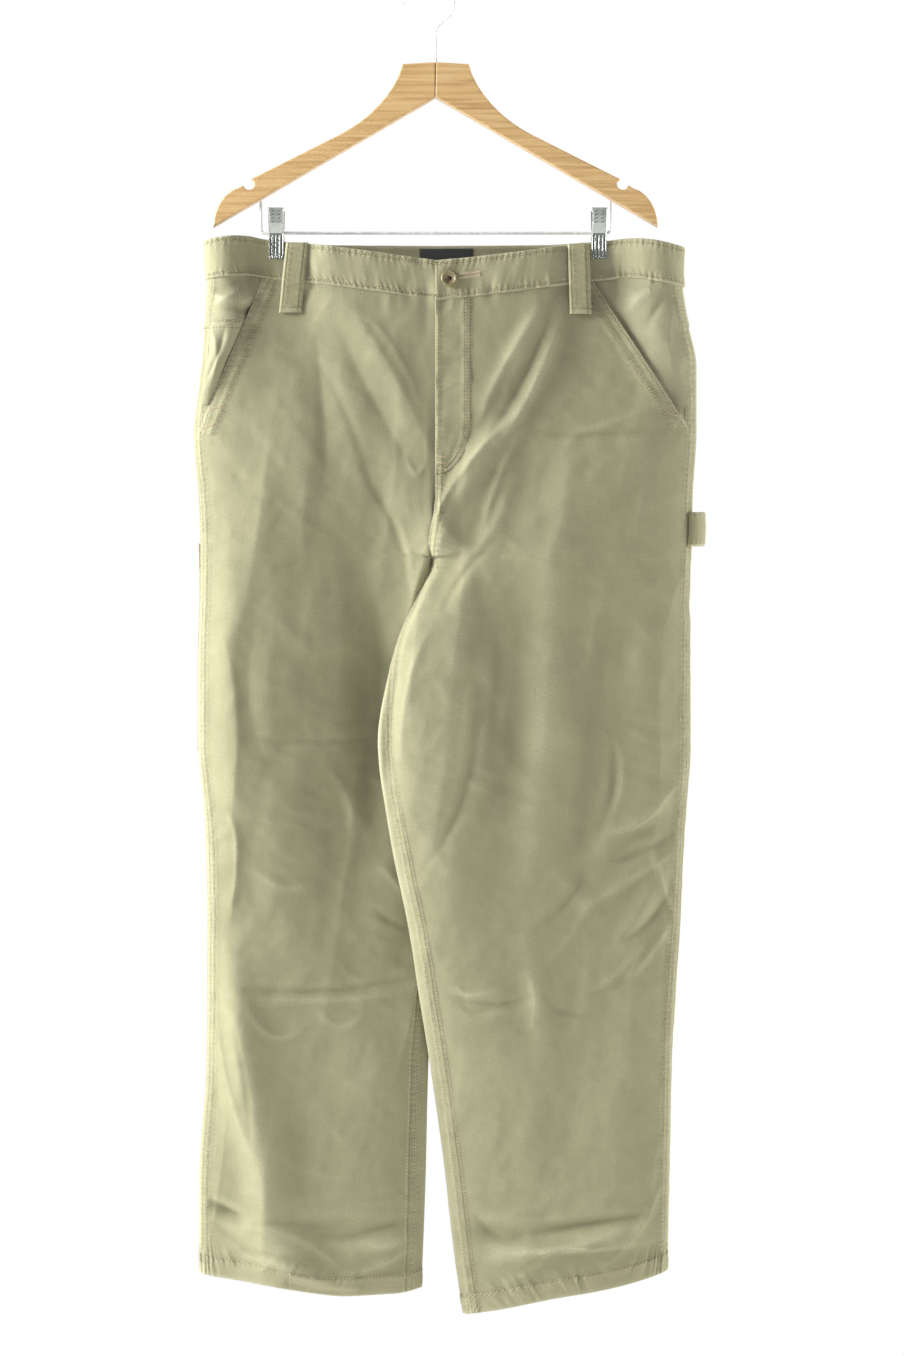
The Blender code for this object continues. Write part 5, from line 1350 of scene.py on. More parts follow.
# %% Hems
HEM_OUTER, HEM_INNER = 0.5, -1.7
profile = profile_rows(HEM_HEIGHT, HEM_OUTER, HEM_INNER, 16, 1.1)
down, base_lift = profile[:, :1], profile[:, 1:]
for leg in SIGN:
    ring = even_ring(leg, -0.7, 5.3, 1295.0, 560)
    ring[-1] = ring[0] + 6.0
    drop = hem_drop(leg, ring) - HEM_HEIGHT * (1 - down)
    flush = -0.9 * ease(1 - down * HEM_HEIGHT / 2.5) * (base_lift > 0)
    points, _, wear_and_painted_light, nearest = surface(leg, ring + 0 * drop, drop, base_lift + flush)
    strip_mesh(f"hem_{leg}", points, np.clip(wear_and_painted_light, 0, 1), np.where(base_lift > 0, nearest, NO_ROW),
               "band_canvas", "canvas", f"front_{leg}_cloth", walked_along(points[8])[-1],
               HEM_HEIGHT + TURNED_IN, ends=False)

# %% [markdown]
# ## Patches behind
#
# Two seat pockets and the narrow tool pocket at the wearer's right side. A patch is laid on the
# back's own surface, lifted by its thickness, with its sides and foot turned in and a top that
# stands a little open.

# %% Back pockets and tool pocket
SEAT_FOOT = ((0, 548), (0.48, 564), (1, 548))
# Leg, distance of the inner and of the outer edge at the top and the foot, top, and line of the foot.
BACK_POCKETS = {
    "back_pocket_right": ("right", (42, 52), (192, 182), 396.0, SEAT_FOOT),
    "back_pocket_left": ("left", (42, 52), (192, 182), 396.0, SEAT_FOOT),
    "tool_pocket": ("right", (130, 138), None, 563.0, ((0, 770), (1, 770))),
}
PATCH_LIFT, PATCH_WIDTH = 1.5, 150.0
PATCH_ROWS, PATCH_HEM_ROWS = (2.0, 8.0), (3.0, 22.0)    # from the sides and foot, and from the top


def patch_place(name, share, down):
    """Ring and drop of a place on a patch, given as shares of its width and its height."""
    leg, inner, outer, top, foot = BACK_POCKETS[name]
    drop = top + down * (smooth_through(foot, share) - top)

    def edge_at(edge):
        return ring_at(leg, "back", edge[0] + (edge[1] - edge[0]) * down, drop)

    first = edge_at(inner)
    last = outseam(drop) + 0.32 if outer is None else edge_at(outer)
    return first + share * (last - first), drop


for name, (leg, _, outer, top, foot) in BACK_POCKETS.items():
    share, down = np.linspace(0, 1, 48), np.linspace(0, 1, 56)[:, None]
    ring, drop = patch_place(name, share, down)
    gape = 1.8 * bell((drop - top) / 14) * np.sin(math.pi * share) ** 0.5
    hem = 0.4 * ease((24 - (drop - top)) / 2)
    whole = smooth_through(foot, share) - top
    height = whole * down
    rows = [np.abs(whole - height - row) for row in PATCH_ROWS]
    rows += [np.abs(height - row) for row in PATCH_HEM_ROWS]
    for side in (share,) if outer is None else (share, 1 - share):
        rows += [np.abs(PATCH_WIDTH * side - row) + 0 * height for row in PATCH_ROWS]
    cloth_piece(name, leg, ring, drop, PATCH_LIFT + gape + hem, turned=("start", "end", "foot", "top"),
                depth=1.8, hangs_on=f"back_{leg}_cloth", rows=rows)

# %% [markdown]
# ## Loops
#
# Belt loops are strips folded in three and stitched lengthwise, bowed so that a belt goes behind.
# Each is laid over what is built already: rays from outside find how far that stands out, and the
# strip keeps clear of it. The hammer loop is a strap at the wearer's left hip.

# %% Belt loops
# Face, place across at the top and at the foot, and width.
BELT_LOOPS = {
    "belt_loop_front_right": ("front", -137.5, -144.5, 22.5),
    "belt_loop_front_left": ("front", 142.5, 144.5, 21.5),
    "belt_loop_back_right": ("back", -128.0, -126.0, 22.0),
    "belt_loop_back_left": ("back", 134.0, 132.0, 22.0),
    "belt_loop_centre": ("back", 0.0, 0.0, 22.0),
}
LOOP_LENGTH, LOOP_BOW, LOOP_THICK = 70.0, 2.6, 2.0
LOOP_ROW = 0.34         # of its width: how far a loop's two rows are from its middle
LOOP_FOLDED = 2.0       # what the folds add to the width of a loop's cut
TREES = {}


def tree_of(name):
    """A search tree of a finished piece's faces, for rays."""
    if name not in TREES:
        data = bpy.data.objects[name].data
        places, corners = [v.co for v in data.vertices], [p.vertices for p in data.polygons]
        TREES[name] = BVHTree.FromPolygons(places, corners)
    return TREES[name]


def stands_out(names, way, across, drop):
    """How far the built pieces stand out towards the viewer (way -1) or away (+1) at a place."""
    start = Vector(((across + HANGER_CENTRE) * MM, way * 0.2, -drop * MM))
    hits = [tree_of(name).ray_cast(start, Vector((0, -way, 0)))[0] for name in names]
    return max((way * hit.y / MM for hit in hits if hit is not None), default=-100.0)


def loop_profile(width, thick):
    """Across the strip and its height above the cloth: outer face, edge, inner face, edge."""
    side = np.linspace(-0.5, 0.5, 15)
    crown = thick * (1 - np.abs(2 * side) ** 7 * 0.55)
    outer = np.stack([side * width, crown + 0.18 * np.cos(2 * math.pi * side * 1.5) - 0.18], -1)
    inner = np.stack([side[::-2] * width, 0.15 + 0 * side[::-2]], -1)
    return np.concatenate([outer, inner, outer[:1]])


def loop_place(name):
    """A loop's leg, the way that it faces, its top, its places at the top and the foot, its width."""
    face, top_at, foot_at, width = BELT_LOOPS[name]
    leg, way = "left" if top_at >= 0 else "right", -1.0 if face == "front" else 1.0
    ring = ring_at(leg, face, np.array(abs(top_at)), np.array(BAND_DROP))
    return leg, way, float(waist_drop(leg, ring)) + 0.8, top_at, foot_at, width


for name in BELT_LOOPS:
    leg, way, top, top_at, foot_at, width = loop_place(name)
    below = ("front",) if way < 0 else ("yoke", "back")
    names = ["waistband_cloth"] + [f"{part}_{leg}_cloth" for part in below]
    steps = np.linspace(0, 1, 40)
    centre = top_at + (foot_at - top_at) * steps
    levels = np.minimum(top + (LOOP_LENGTH - 1) * steps + 0.5, top + LOOP_LENGTH)
    under = [max(stands_out(names, way, middle + width * s, level) for s in (-0.5, -0.25, 0, 0.25, 0.5))
             for middle, level in zip(centre, levels)]
    clear = np.array([max(under[max(i - 2, 0):i + 3]) for i in range(len(under))])
    bow = LOOP_BOW * np.sin(math.pi * steps) ** 1.5
    fold = 0.9 * np.exp(-((1 - steps) * LOOP_LENGTH / 6) ** 4)
    fold = fold + 0.5 * np.exp(-(steps * LOOP_LENGTH / 5) ** 4)
    seat = clear + 0.3 + bow + 0.35 * lattice_noise(steps * 5, steps * 0, 90 + len(name))
    across, thick = np.split(loop_profile(width, LOOP_THICK), 2, axis=1)
    points = np.stack([centre + across, way * (seat + thick * (1 + fold / LOOP_THICK)),
                       -(top + LOOP_LENGTH * steps) + 0 * across], axis=-1)
    worn_and_painted_light = np.clip(0.6 * bell((np.abs(across) - width / 2) / 1.2) + 0.4 * fold + 0 * steps, 0, 1)
    rows = np.abs(np.abs(across) - LOOP_ROW * width) + 0 * steps
    rows = np.minimum(rows, np.abs((1 - steps) * LOOP_LENGTH - 5) + 0 * rows)
    strip_mesh(name, points, worn_and_painted_light, rows, "canvas_edge", "canvas_edge", "waistband_cloth", LOOP_LENGTH,
               width + LOOP_FOLDED)

# %% Hammer loop
HAMMER_DROP, HAMMER_WIDTH, HAMMER_STAND = 549.0, 34.0, 17.0
HAMMER_BACK, HAMMER_SLOPE = 206.0, 6.0      # how far out it ends behind, and how much it rises on the way
first = float(outseam(HAMMER_DROP)) + 0.06
last = float(ring_at("left", "back", np.array(HAMMER_BACK), np.array(HAMMER_DROP)))
ring = even_ring("left", first, last, HAMMER_DROP, 60)
share = np.linspace(0, 1, 60)
across, thick = np.split(loop_profile(HAMMER_WIDTH, LOOP_THICK), 2, axis=1)
stand = 0.9 + HAMMER_STAND * np.sin(math.pi * share) ** 0.8
drop = HAMMER_DROP + across - HAMMER_SLOPE * share
base, normal, *_ = surface("left", ring + 0 * drop, drop, 0.0)
points = base + normal * (stand + thick)[..., None]
worn_and_painted_light = np.clip(bell((np.abs(across) - HAMMER_WIDTH / 2) / 1.5) + 0 * share, 0, 1)
rows = np.abs(np.abs(across) - 0.4 * HAMMER_WIDTH) + 0 * share
strip_mesh("hammer_loop", points, worn_and_painted_light, rows, "canvas_edge", "canvas_edge", "back_left_cloth",
           walked_along(points[7])[-1], HAMMER_WIDTH + LOOP_FOLDED)

# %% [markdown]
# ## Label
#
# A plain black woven tab inside the back of the waistband, folded at its two sides.

# %% Label
LABEL_ENDS, LABEL_HEIGHT, LABEL_BELOW, LABEL_LIFT, LABEL_THICK = (-16.0, 37.0), 30.0, 3.0, -1.75, 0.35
LABEL_CUT = (0.054, 0.062)      # metres, with the fold behind
across = np.linspace(*LABEL_ENDS, 36)
down = np.linspace(0, 1, 22)[:, None]
ring = ring_at("left", "back", np.abs(across), np.full(36, BAND_DROP))
drop = waist_drop("left", ring) + LABEL_BELOW + LABEL_HEIGHT * down
bulge = -0.5 * np.sin(math.pi * (across - across[0]) / (across[-1] - across[0])) ** 0.5
points, normal, *_ = surface("left", ring + 0 * drop, drop, LABEL_LIFT + bulge)
points[..., 0] *= np.sign(across)
points = np.concatenate([points, (points + normal * LABEL_THICK)[::-1], points[:1]])
none = np.zeros(points.shape[:2])
made = mesh_piece("label_woven", points, none, none + NO_ROW, cloth_uv(points), closed=True)
adopt(made, "label", "label", *LABEL_CUT, LABEL_CUT[0] * LABEL_CUT[1], "waistband_cloth", "label")

# %% [markdown]
# ## Stitching
#
# A lockstitch shows as a row of short thread lengths, each sunk at both ends. Each is a five-sided
# spindle, laid on the cloth below it by a ray, and all those of one side are joined in one mesh.
# The real stitches are 0.5 mm thick; they are drawn 0.84 mm thick so that they show.

# %% Stitches
STITCH, STITCH_PITCH, THREAD = 2.5, 3.3, 0.42     # length, spacing, radius


def resampled(points, pitch):
    """Places at an even spacing along a line, and its direction there."""
    walked = walked_along(points)
    at = np.arange(pitch / 2, walked[-1], pitch)
    place, ahead, behind = (np.stack([np.interp(at + more, walked, points[:, k]) for k in range(3)], axis=1)
                            for more in (0, 0.5, -0.5))
    way = ahead - behind
    return place, way / np.maximum(np.linalg.norm(way, axis=1, keepdims=True), 1e-9)


def laid_on(piece, place, normal, reach=9.0):
    """Where each place meets a piece when it comes in from outside, with the face's normal there."""
    tree, shift, found = tree_of(piece), Vector((HANGER_CENTRE, 0, 0)), []
    for spot, out in zip(place, normal):
        out = Vector(out)
        start = (Vector(spot) + shift + out * reach) * MM
        hit, facing, *_ = tree.ray_cast(start, -out, 2 * reach * MM)
        if hit is not None:
            hit, facing = np.array(hit) / MM, np.array(facing) * (1 if facing.dot(out) > 0 else -1)
        found.append(None if hit is None else (hit, facing))
    return found


class Seamstress:
    """Collects stitches for one joined mesh."""

    def __init__(self, name):
        self.name, self.points, self.faces, self.count = name, [], [], 0

    def stitch(self, spot, way, facing, length=STITCH, radius=THREAD, sunk=0.15):
        """One stitch: a spindle of four rings with five points each."""
        across = np.cross(facing, way)
        across /= max(np.linalg.norm(across), 1e-9)
        first = len(self.points)
        for along, size, down in ((-0.5, 0.35, 0.45), (-0.22, 1, 0), (0.22, 1, 0), (0.5, 0.35, 0.45)):
            centre = spot + way * along * length + facing * (radius * (0.5 - down * 2) - sunk)
            for turn in np.radians((90, 162, 234, 306, 18)):
                way_out = across * math.cos(turn) + facing * math.sin(turn)
                self.points.append(centre + radius * size * way_out)
        for ring in range(3):
            for side in range(5):
                a, b = first + 5 * ring + side, first + 5 * ring + (side + 1) % 5
                self.faces.append((a, b, b + 5, a + 5))
        self.faces.append(tuple(range(first + 4, first - 1, -1)))
        self.faces.append(tuple(range(first + 15, first + 20)))
        self.count += 1

    def row(self, piece, points, normal, pitch=STITCH_PITCH, **size):
        """A row of stitches on a piece along a line of points, with one outward direction for each."""
        place, way = resampled(points, pitch)
        walked = np.linspace(0, 1, len(points))
        at = np.linspace(0, 1, len(place))
        out = np.stack([np.interp(at, walked, normal[:, k]) for k in range(3)], axis=1)
        out /= np.linalg.norm(out, axis=1, keepdims=True)
        for found, along in zip(laid_on(piece, place, out), way):
            if found is not None:
                along = along - found[1] * (along @ found[1])
                self.stitch(found[0], along / np.linalg.norm(along), found[1], **size)

    def bar_tack(self, piece, spot, way, normal, length, rows=9):
        """A dense patch of short stitches across a line, where a seam takes strain."""
        across = np.cross(normal, way)
        for k in np.linspace(-0.5, 0.5, rows):
            found = laid_on(piece, [spot + way * length * k], [normal])[0]
            if found is not None:
                self.stitch(found[0], across / np.linalg.norm(across), found[1], length=2.6, radius=0.45)

    def finish(self):
        """Make the mesh, which rides with the garment and shows its thread."""
        data = bpy.data.meshes.new(self.name)
        data.from_pydata((np.array(self.points) * MM).tolist(), [], self.faces)
        data.shade_smooth()
        data.materials.append(MATERIALS["thread"])
        made = new_object(self.name, data)
        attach(made, "root")
        print(f"{self.name}: {self.count} stitches")


def surface_line(leg, ring, drop):
    """Points and outward directions along a line on the surface."""
    ring, drop = np.broadcast_arrays(np.asarray(ring, float), np.asarray(drop, float))
    return surface(leg, ring, drop)[0], outward(leg, ring, drop)


def line_on(leg, face, out, drop):
    """The same for places that are given by how far out from the middle they are."""
    out, drop = np.broadcast_arrays(np.asarray(out, float), np.asarray(drop, float))
    return surface_line(leg, ring_at(leg, face, out, drop), drop)


def beside(leg, seam_at, distance, drop):
    """Points and outward directions of a line beside a seam, at a distance in mm along the cloth."""
    ring = seam_at(drop)
    return surface_line(leg, ring + distance / ring_unit(leg, ring, drop, 0.02), drop)


def hem_top(leg, ring):
    """Drop at which a seam's rows end, at the hem's upper edge."""
    return float(hem_drop(leg, np.array([ring]))[0]) - HEM_HEIGHT


# %% Leg seams, pockets and fly
front = Seamstress("front_stitches")
for leg in SIGN:
    panel = f"front_{leg}_cloth"
    drop = np.linspace(596, hem_top(leg, -0.5), 300)
    for distance in STRIP_ROWS:
        front.row(panel, *beside(leg, inseam, distance, drop))
    (top_out, top_drop), (foot_out, foot_drop) = SLANT[leg]
    for distance in POCKET_ROWS:
        drop = np.linspace(top_drop + 16, foot_drop - 4 + 0.5 * distance, 80)
        out = slant_out(leg, drop) - distance / slant_share(leg)
        ring = np.minimum(ring_at(leg, "front", out, drop), outseam(drop))
        front.row(panel, *surface_line(leg, ring, drop))
    for level in ((foot_drop - 26, foot_drop - 8) if leg == "right" else (foot_drop - 14,)):
        spot, normal = line_on(leg, "front", [slant_out(leg, level) - POCKET_STITCH / 2], [level])
        front.bar_tack(panel, spot[0], np.array([SIGN[leg], 0, -0.25]), normal[0], POCKET_STITCH - 2, 12)

for inside in FLY_ROWS:
    drop = 318 + (FLY_DROP - inside - 318) * np.sin(np.linspace(0, math.pi / 2, 120))
    front.row("fly_cloth", *line_on("left", "front", np.maximum(fly_edge(drop, inside), 1.5), drop))
drop = np.linspace(FLY_DROP - 8, 574, 60)
for distance in CENTRE_ROWS:
    ring = np.where(drop < RISE_TURN["front"], 0, -turn_under("front", drop)) + distance / 200
    front.row("front_left_cloth", *surface_line("left", ring, drop))
drop = np.linspace(322, FLY_DROP - 10, 100)
front.row("fly_cloth", *line_on("left", "front", FLY_EDGE_ROW, drop))
for level in (478, 484, 490, 508):
    spot, normal = line_on("left", "front", [6.0], [level])
    piece = "fly_cloth" if level < FLY_DROP - 4 else "front_left_cloth"
    front.bar_tack(piece, spot[0], np.array([1.0, 0, -0.15]), normal[0], 10, 9)
for level in (COIN_TOP + row for row in COIN_ROWS):
    first = ring_at("right", "front", slant_out("right", level) + COIN_IN, level)
    ring = first + np.linspace(0.03, 0.97, 50) * (outseam(level) - 0.02 - first)
    front.row("coin_pocket_cloth", *surface_line("right", ring, level))
front.finish()

# %% Side seams and everything behind
back = Seamstress("back_stitches")
for leg in SIGN:
    panel, yoke = f"back_{leg}_cloth", f"yoke_{leg}_cloth"
    drop = np.linspace(350, hem_top(leg, 1.75), 340)
    for distance in STRIP_ROWS:
        back.row(panel, *beside(leg, outseam, distance, drop))
    back.row(yoke, *beside(leg, outseam, STRIP_ROWS[0], np.linspace(318, 350, 14)))
    ring = even_ring(leg, float(outseam(360.0)) + 0.02, 4.0, 360.0, 100)
    for above in (-YOKE_OVER + 1.8, -YOKE_OVER + 8.0):
        back.row(yoke, *surface_line(leg, ring, yoke_drop(leg, ring) - above))
    if leg == "left":
        drop = np.linspace(384, 560, 80)
        for distance in STRIP_ROWS:
            back.row(panel, *surface_line(leg, 4 + turn_under("back", drop) - distance / 200, drop))
most = np.linspace(0.02, 0.98, 90)
for name, (leg, _, outer, top, foot) in BACK_POCKETS.items():
    piece, height = f"{name}_cloth", foot[0][1] - top
    for inset in PATCH_ROWS:
        side = inset / PATCH_WIDTH
        for share in (side,) if outer is None else (side, 1 - side):
            back.row(piece, *surface_line(leg, *patch_place(name, share, most)))
        along = np.linspace(side, 1 - side, 90)
        back.row(piece, *surface_line(leg, *patch_place(name, along, 1 - inset / height)))
    for level in PATCH_HEM_ROWS:
        back.row(piece, *surface_line(leg, *patch_place(name, most, level / height)))
back.finish()

# %% Waistband, hems and loops
band = Seamstress("band_stitches")
for leg, ring in band_stretches()[1:]:
    for edge in (BAND_STITCH, BAND_HEIGHT - BAND_STITCH):
        band.row("waistband_cloth", *surface_line(leg, ring, waist_drop(leg, ring) + edge))
for leg in SIGN:
    ring = even_ring(leg, -0.68, 5.28, 1295.0, 300)
    band.row(f"hem_{leg}_cloth", *surface_line(leg, ring, hem_drop(leg, ring) - HEM_ROW))
for name in BELT_LOOPS:
    leg, way, top, top_at, foot_at, width = loop_place(name)
    facing = np.array([0, way, 0])

    def on_loop(share, side=0.0):
        """A place on the loop's middle line or beside it, some way out from the garment."""
        x = top_at + (foot_at - top_at) * share + side * width
        return np.stack([x, way * 30 + 0 * x, -(top + LOOP_LENGTH * share)], axis=-1)

    for side in (-LOOP_ROW, LOOP_ROW):
        points = on_loop(np.linspace(0.03, 0.93, 30), side)
        band.row(f"{name}_cloth", points, np.tile(facing, (30, 1)).astype(float), pitch=3.0)
    for share in (0.045, 0.93):
        for row in (-0.7, 0.7):
            spot = on_loop(np.array(share)) + np.array([0, 0, row])
            band.bar_tack(f"{name}_cloth", spot, np.array([1.0, 0, 0]), facing, width - 4, 14)
band.finish()

# %% [markdown]
# ## Button and buttonhole
#
# A turned nut button with a rounded rim and a groove, held by a dark tack in its middle. It is
# spun from its half outline. The buttonhole beside it is a slit closed round with dense stitches.

# %% Button
BUTTON_OUT, BUTTON_STEPS = 14.0, 64
BUTTON_OUTLINE = ((0, 1.5), (2.3, 1.5), (2.6, 1.9), (4.6, 2.0), (5.0, 2.3), (5.4, 2.9), (6.4, 3.3),
                  (7.3, 3.35), (8.0, 3.0), (8.4, 2.3), (8.5, 1.6), (8.2, 0.7), (7.2, 0.1), (0, 0.1))
TACK_OUTLINE = ((0, 2.5), (1.2, 2.4), (2.0, 2.1), (2.35, 1.5), (2.2, 0.9), (0, 0.9))


def spun(name, outline, steps):
    """A solid of revolution from its half outline, in mm, about Z."""
    mesh = bmesh.new()
    verts = [mesh.verts.new((r * MM, 0, z * MM)) for r, z in outline]
    edges = [mesh.edges.new(pair) for pair in zip(verts, verts[1:])]
    bmesh.ops.spin(mesh, geom=verts + edges, cent=(0, 0, 0), axis=(0, 0, 1), angle=2 * math.pi, steps=steps)
    bmesh.ops.remove_doubles(mesh, verts=mesh.verts[:], dist=1e-6)
    bmesh.ops.recalc_face_normals(mesh, faces=mesh.faces[:])
    data = bpy.data.meshes.new(name)
    mesh.to_mesh(data)
    mesh.free()
    data.shade_smooth()
    return new_object(name, data)


def on_band(out, below=0.0):
    """A place near the middle line of the band's lapping end, and its outward direction."""
    ring = ring_at("left", "front", np.array([out]), np.array([300.0]))
    return surface_line("left", ring, waist_drop("left", ring) + BAND_HEIGHT / 2 + below)


seat, facing = on_band(BUTTON_OUT)
seat = seat[0] + facing[0] * (BAND_OUTER + 0.6) + np.array([HANGER_CENTRE, 0, 0])
for name, outline, finish in (("button_disc", BUTTON_OUTLINE, "button"),
                              ("button_tack", TACK_OUTLINE, "tack")):
    made = spun(name, outline, BUTTON_STEPS)
    made.location = Vector(seat) * MM
    made.rotation_mode = "QUATERNION"
    made.rotation_quaternion = Vector(facing[0]).to_track_quat("Z", "Y")
    made.data.materials.append(MATERIALS[finish])
    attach(made, "root")
    if name == "button_disc":
        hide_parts("button")
    print(f"{name}:", len(made.data.polygons), "faces")

# %% Buttonhole
HOLE_FROM, HOLE_TO, HOLE_PITCH, HOLE_HALF = 24.0, 45.0, 0.75, 1.6
hole = Seamstress("buttonhole_stitches")
for across in np.arange(HOLE_FROM, HOLE_TO, HOLE_PITCH):
    for side in (-1, 1):
        found = laid_on("waistband_cloth", *on_band(across, side * HOLE_HALF - 2))[0]
        if found is not None:
            hole.stitch(found[0], np.array([0.1, 0, 1.0]), found[1], length=3.4, radius=0.5, sunk=0)
hole.finish()

# %% [markdown]
# ## Hanger
#
# The arms, hook, bar and clips are rigid and have the solid model's own shapes, so the nodes stay
# and take their finishes. The clips get what a pressed part has on top of its plates: ribs along
# the jaw, a row of teeth, punched slots in the grip and rolled sides. The slots and the valleys
# between the ribs are dark strips of painted shade.

# %% Finishes of the hanger
for name, finish in (("hanger_arm_right", "wood"), ("hanger_arm_left", "wood"), ("hook", "wire"),
                     ("trouser_bar", "wire"), ("clip_right", "steel"), ("clip_left", "steel")):
    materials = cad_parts[name].data.materials
    materials.clear()
    materials.append(MATERIALS[finish])

# %% Pressed details of the clips
CLIP_SIDE = 6.8         # how far a clip's rolled sides are from its middle
GRIP_TOP, JAW_TOP, JAW_FOOT = 229.5, 255.0, 277.5
# Offsets of the ribs, and of the strips of painted shade in the valleys between them.
RIBS, VALLEY_SHADE_OFFSETS = (-3.7, 0.0, 3.7), (-5.5, -1.85, 1.85, 5.5)
SLOTS = [(side * 3.1, level) for side in (-1, 1) for level in (231.5, 235.0, 238.5, 242.0)]


def clip_face(tree, across, drop):
    """Front face of a clip at a place, in mm of the frame."""
    hit = tree.ray_cast(Vector((across * MM, -0.2, -drop * MM)), Vector((0, 1, 0)))[0]
    return None if hit is None else hit.y / MM


def bead(points, faces, line, wide, high):
    """Add a half-round bead along a line: wide across X, high towards the viewer, closed at its ends."""
    first, turns = len(points), np.radians(np.linspace(0, 180, 7))
    for number, (x, y, z) in enumerate(line):
        size = 0.3 if number in (0, len(line) - 1) else 1.0
        points += [(x - wide / 2 * math.cos(a), y + 0.15 - high * size * math.sin(a), z) for a in turns]
    for row in range(len(line) - 1):
        for side in range(6):
            a = first + 7 * row + side
            faces.append((a, a + 1, a + 8, a + 7))
    faces += [tuple(range(first, first + 7)), tuple(range(len(points) - 1, len(points) - 8, -1))]


def ribbon(points, faces, pairs):
    """Add a flat strip of faces along pairs of points."""
    first = len(points)
    points += [spot for pair in pairs for spot in pair]
    faces += [(a, a + 2, a + 3, a + 1) for a in range(first, first + 2 * len(pairs) - 2, 2)]


def joined(name, points, faces, finish):
    """One mesh of a clip's details."""
    data = bpy.data.meshes.new(name)
    data.from_pydata([(x * MM, y * MM, z * MM) for x, y, z in points], [], faces)
    data.shade_smooth()
    data.materials.append(MATERIALS[finish])
    made = new_object(name, data)
    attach(made, "root")
    return len(faces)


for leg in SIGN:
    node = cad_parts[f"clip_{leg}"]
    places = [node.matrix_world @ v.co for v in node.data.vertices]
    tree = BVHTree.FromPolygons(places, [p.vertices for p in node.data.polygons])
    middle = SIGN[leg] * CLIP_AT[leg] + HANGER_CENTRE

    def down_line(offset, top, foot, count):
        """Points down the clip's face, at an offset from its middle."""
        at = middle + offset
        line = [(at, clip_face(tree, at, drop), -drop) for drop in np.linspace(top, foot, count)]
        return [spot for spot in line if spot[1] is not None]

    points, faces = [], []
    for offset in RIBS:
        bead(points, faces, down_line(offset, JAW_TOP, JAW_FOOT, 9), 2.0, 0.9)
    for offset in (-CLIP_SIDE, CLIP_SIDE):
        bead(points, faces, down_line(offset, GRIP_TOP, JAW_FOOT, 22), 1.3, 1.0)
    for tooth in np.linspace(-5.6, 5.6, 6):
        bead(points, faces, down_line(tooth, JAW_FOOT - 1.6, JAW_FOOT + 0.9, 4), 1.7, 1.3)
    count = joined(f"clip_{leg}_ribs", points, faces, "steel")
    # Dark strips of painted shade: one in each punched slot of the grip, and one down each valley between
    # the jaw's ribs.
    points, faces = [], []
    for offset, level in SLOTS:
        pairs = []
        for t in np.linspace(-1, 1, 5):
            x, drop = middle + offset + 1.5 * t, level - 0.8 * t
            y, half = clip_face(tree, x, drop) - 0.06, 0.75 * (1 - (1.5 * t / 1.9) ** 2)
            pairs.append(((x, y, half - drop), (x, y, -half - drop)))
        ribbon(points, faces, pairs)
    for offset in VALLEY_SHADE_OFFSETS:
        line = down_line(offset, JAW_TOP, JAW_FOOT, 9)
        ribbon(points, faces, [((x - 0.4, y - 0.05, z), (x + 0.4, y - 0.05, z)) for x, y, z in line])
    joined(f"clip_{leg}_slot_and_valley_shade", points, faces, "painted_hole_and_groove_shade")
    print(f"clip_{leg}:", count, "faces of ribs, rolls and teeth,", len(SLOTS), "slots")

# %% [markdown]
# ## Floor, light and camera
#
# A white room, bright behind the garment and dimmer behind the camera. A large lamp at the left
# models the folds, a weak one in front on the right keeps the shadows open, and one beside the
# garment on the right lights its edge. The camera stands 3 m away, level with the garment's middle,
# and frames 1.356 m of it in height.

# %% Stage
FLOOR = -1.46           # below the longer leg, which hangs free
FRAME_HEIGHT = 1.356    # metres that the picture's height covers at the garment
CAMERA_AWAY = 3.0

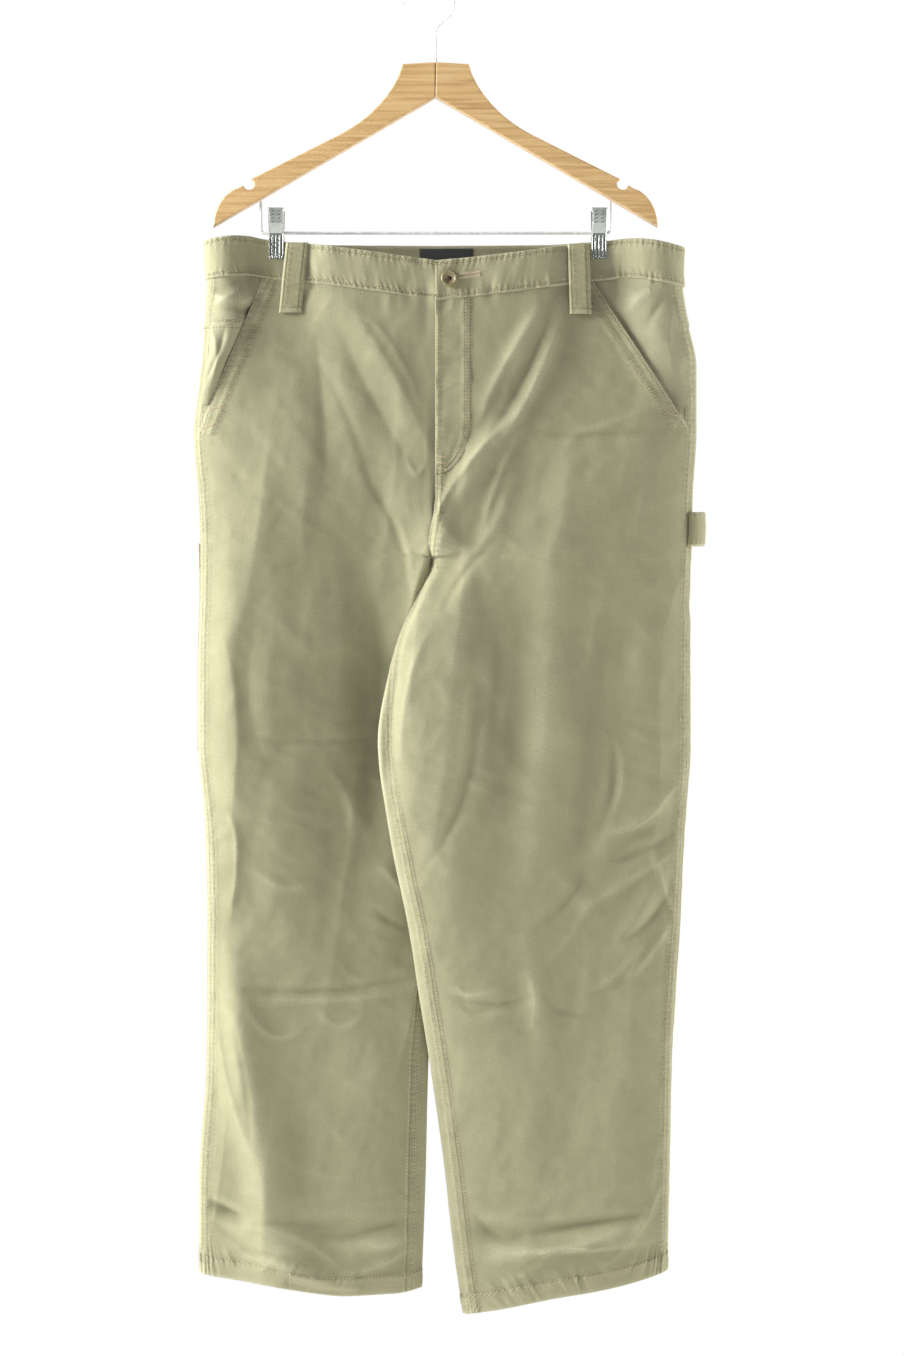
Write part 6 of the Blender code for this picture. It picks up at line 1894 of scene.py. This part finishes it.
data = bpy.data.meshes.new("floor")
corners = [(-3, -3, FLOOR), (3, -3, FLOOR), (3, 0.29, FLOOR), (-3, 0.29, FLOOR)]
data.from_pydata(corners, [], [(0, 1, 2, 3)])
painted, shader = new_material("pale_painted_floor", Roughness=0.9, Base_Color=linear("#f2f1ee"))
data.materials.append(painted)
floor = new_object("floor", data)

BACKDROP, ROOM = 1.0, 0.36      # brightness behind the garment and behind the camera
world = bpy.context.scene.world or bpy.data.worlds.new("room")
bpy.context.scene.world = world
world.use_nodes = True
sky = world.node_tree.nodes["Background"]
sky.inputs["Color"].default_value = (1, 1, 1, 1)
direction = add_node(world, "TexCoord")
parts = add_node(world, "SeparateXYZ", links={"Vector": (direction, "Generated")})
brightness = add_node(world, "MapRange", {"interpolation_type": "SMOOTHSTEP"}, {"Value": (parts, "Y")},
                      From_Min=-0.45, From_Max=0.45, To_Min=ROOM, To_Max=BACKDROP)
join(world, brightness, "Result", sky, "Strength")


def soft_lamp(name, place, aim, size, power):
    """A round area lamp that looks at a point."""
    lamp = bpy.data.lights.new(name, "AREA")
    lamp.shape, lamp.size, lamp.energy = "DISK", size, power
    made = new_object(name, lamp)
    made.location = place
    made.rotation_euler = (Vector(aim) - Vector(place)).to_track_quat("-Z", "Y").to_euler()


soft_lamp("key", (-2.9, -0.52, 0.55), (0, 0, -0.85), 1.5, 280)
soft_lamp("fill", (2.6, -1.6, -0.2), (0, 0, -0.7), 1.2, 5)
soft_lamp("rim", (2.4, 0.1, -0.5), (0.2, 0, -0.75), 1.0, 50)

camera = bpy.data.cameras.new("camera")
camera.sensor_fit, camera.sensor_height, camera.sensor_width = "VERTICAL", 36.0, 24.0
camera.lens = camera.sensor_height * CAMERA_AWAY / FRAME_HEIGHT
view = new_object("camera", camera)
view.location = (0.022, -CAMERA_AWAY, -0.697)
view.rotation_euler = (math.pi / 2, 0, 0)
bpy.context.scene.camera = view
bpy.context.scene.view_settings.view_transform = "Standard"
print("floor at", FLOOR, "m, three lamps, lens", round(camera.lens, 1), "mm")
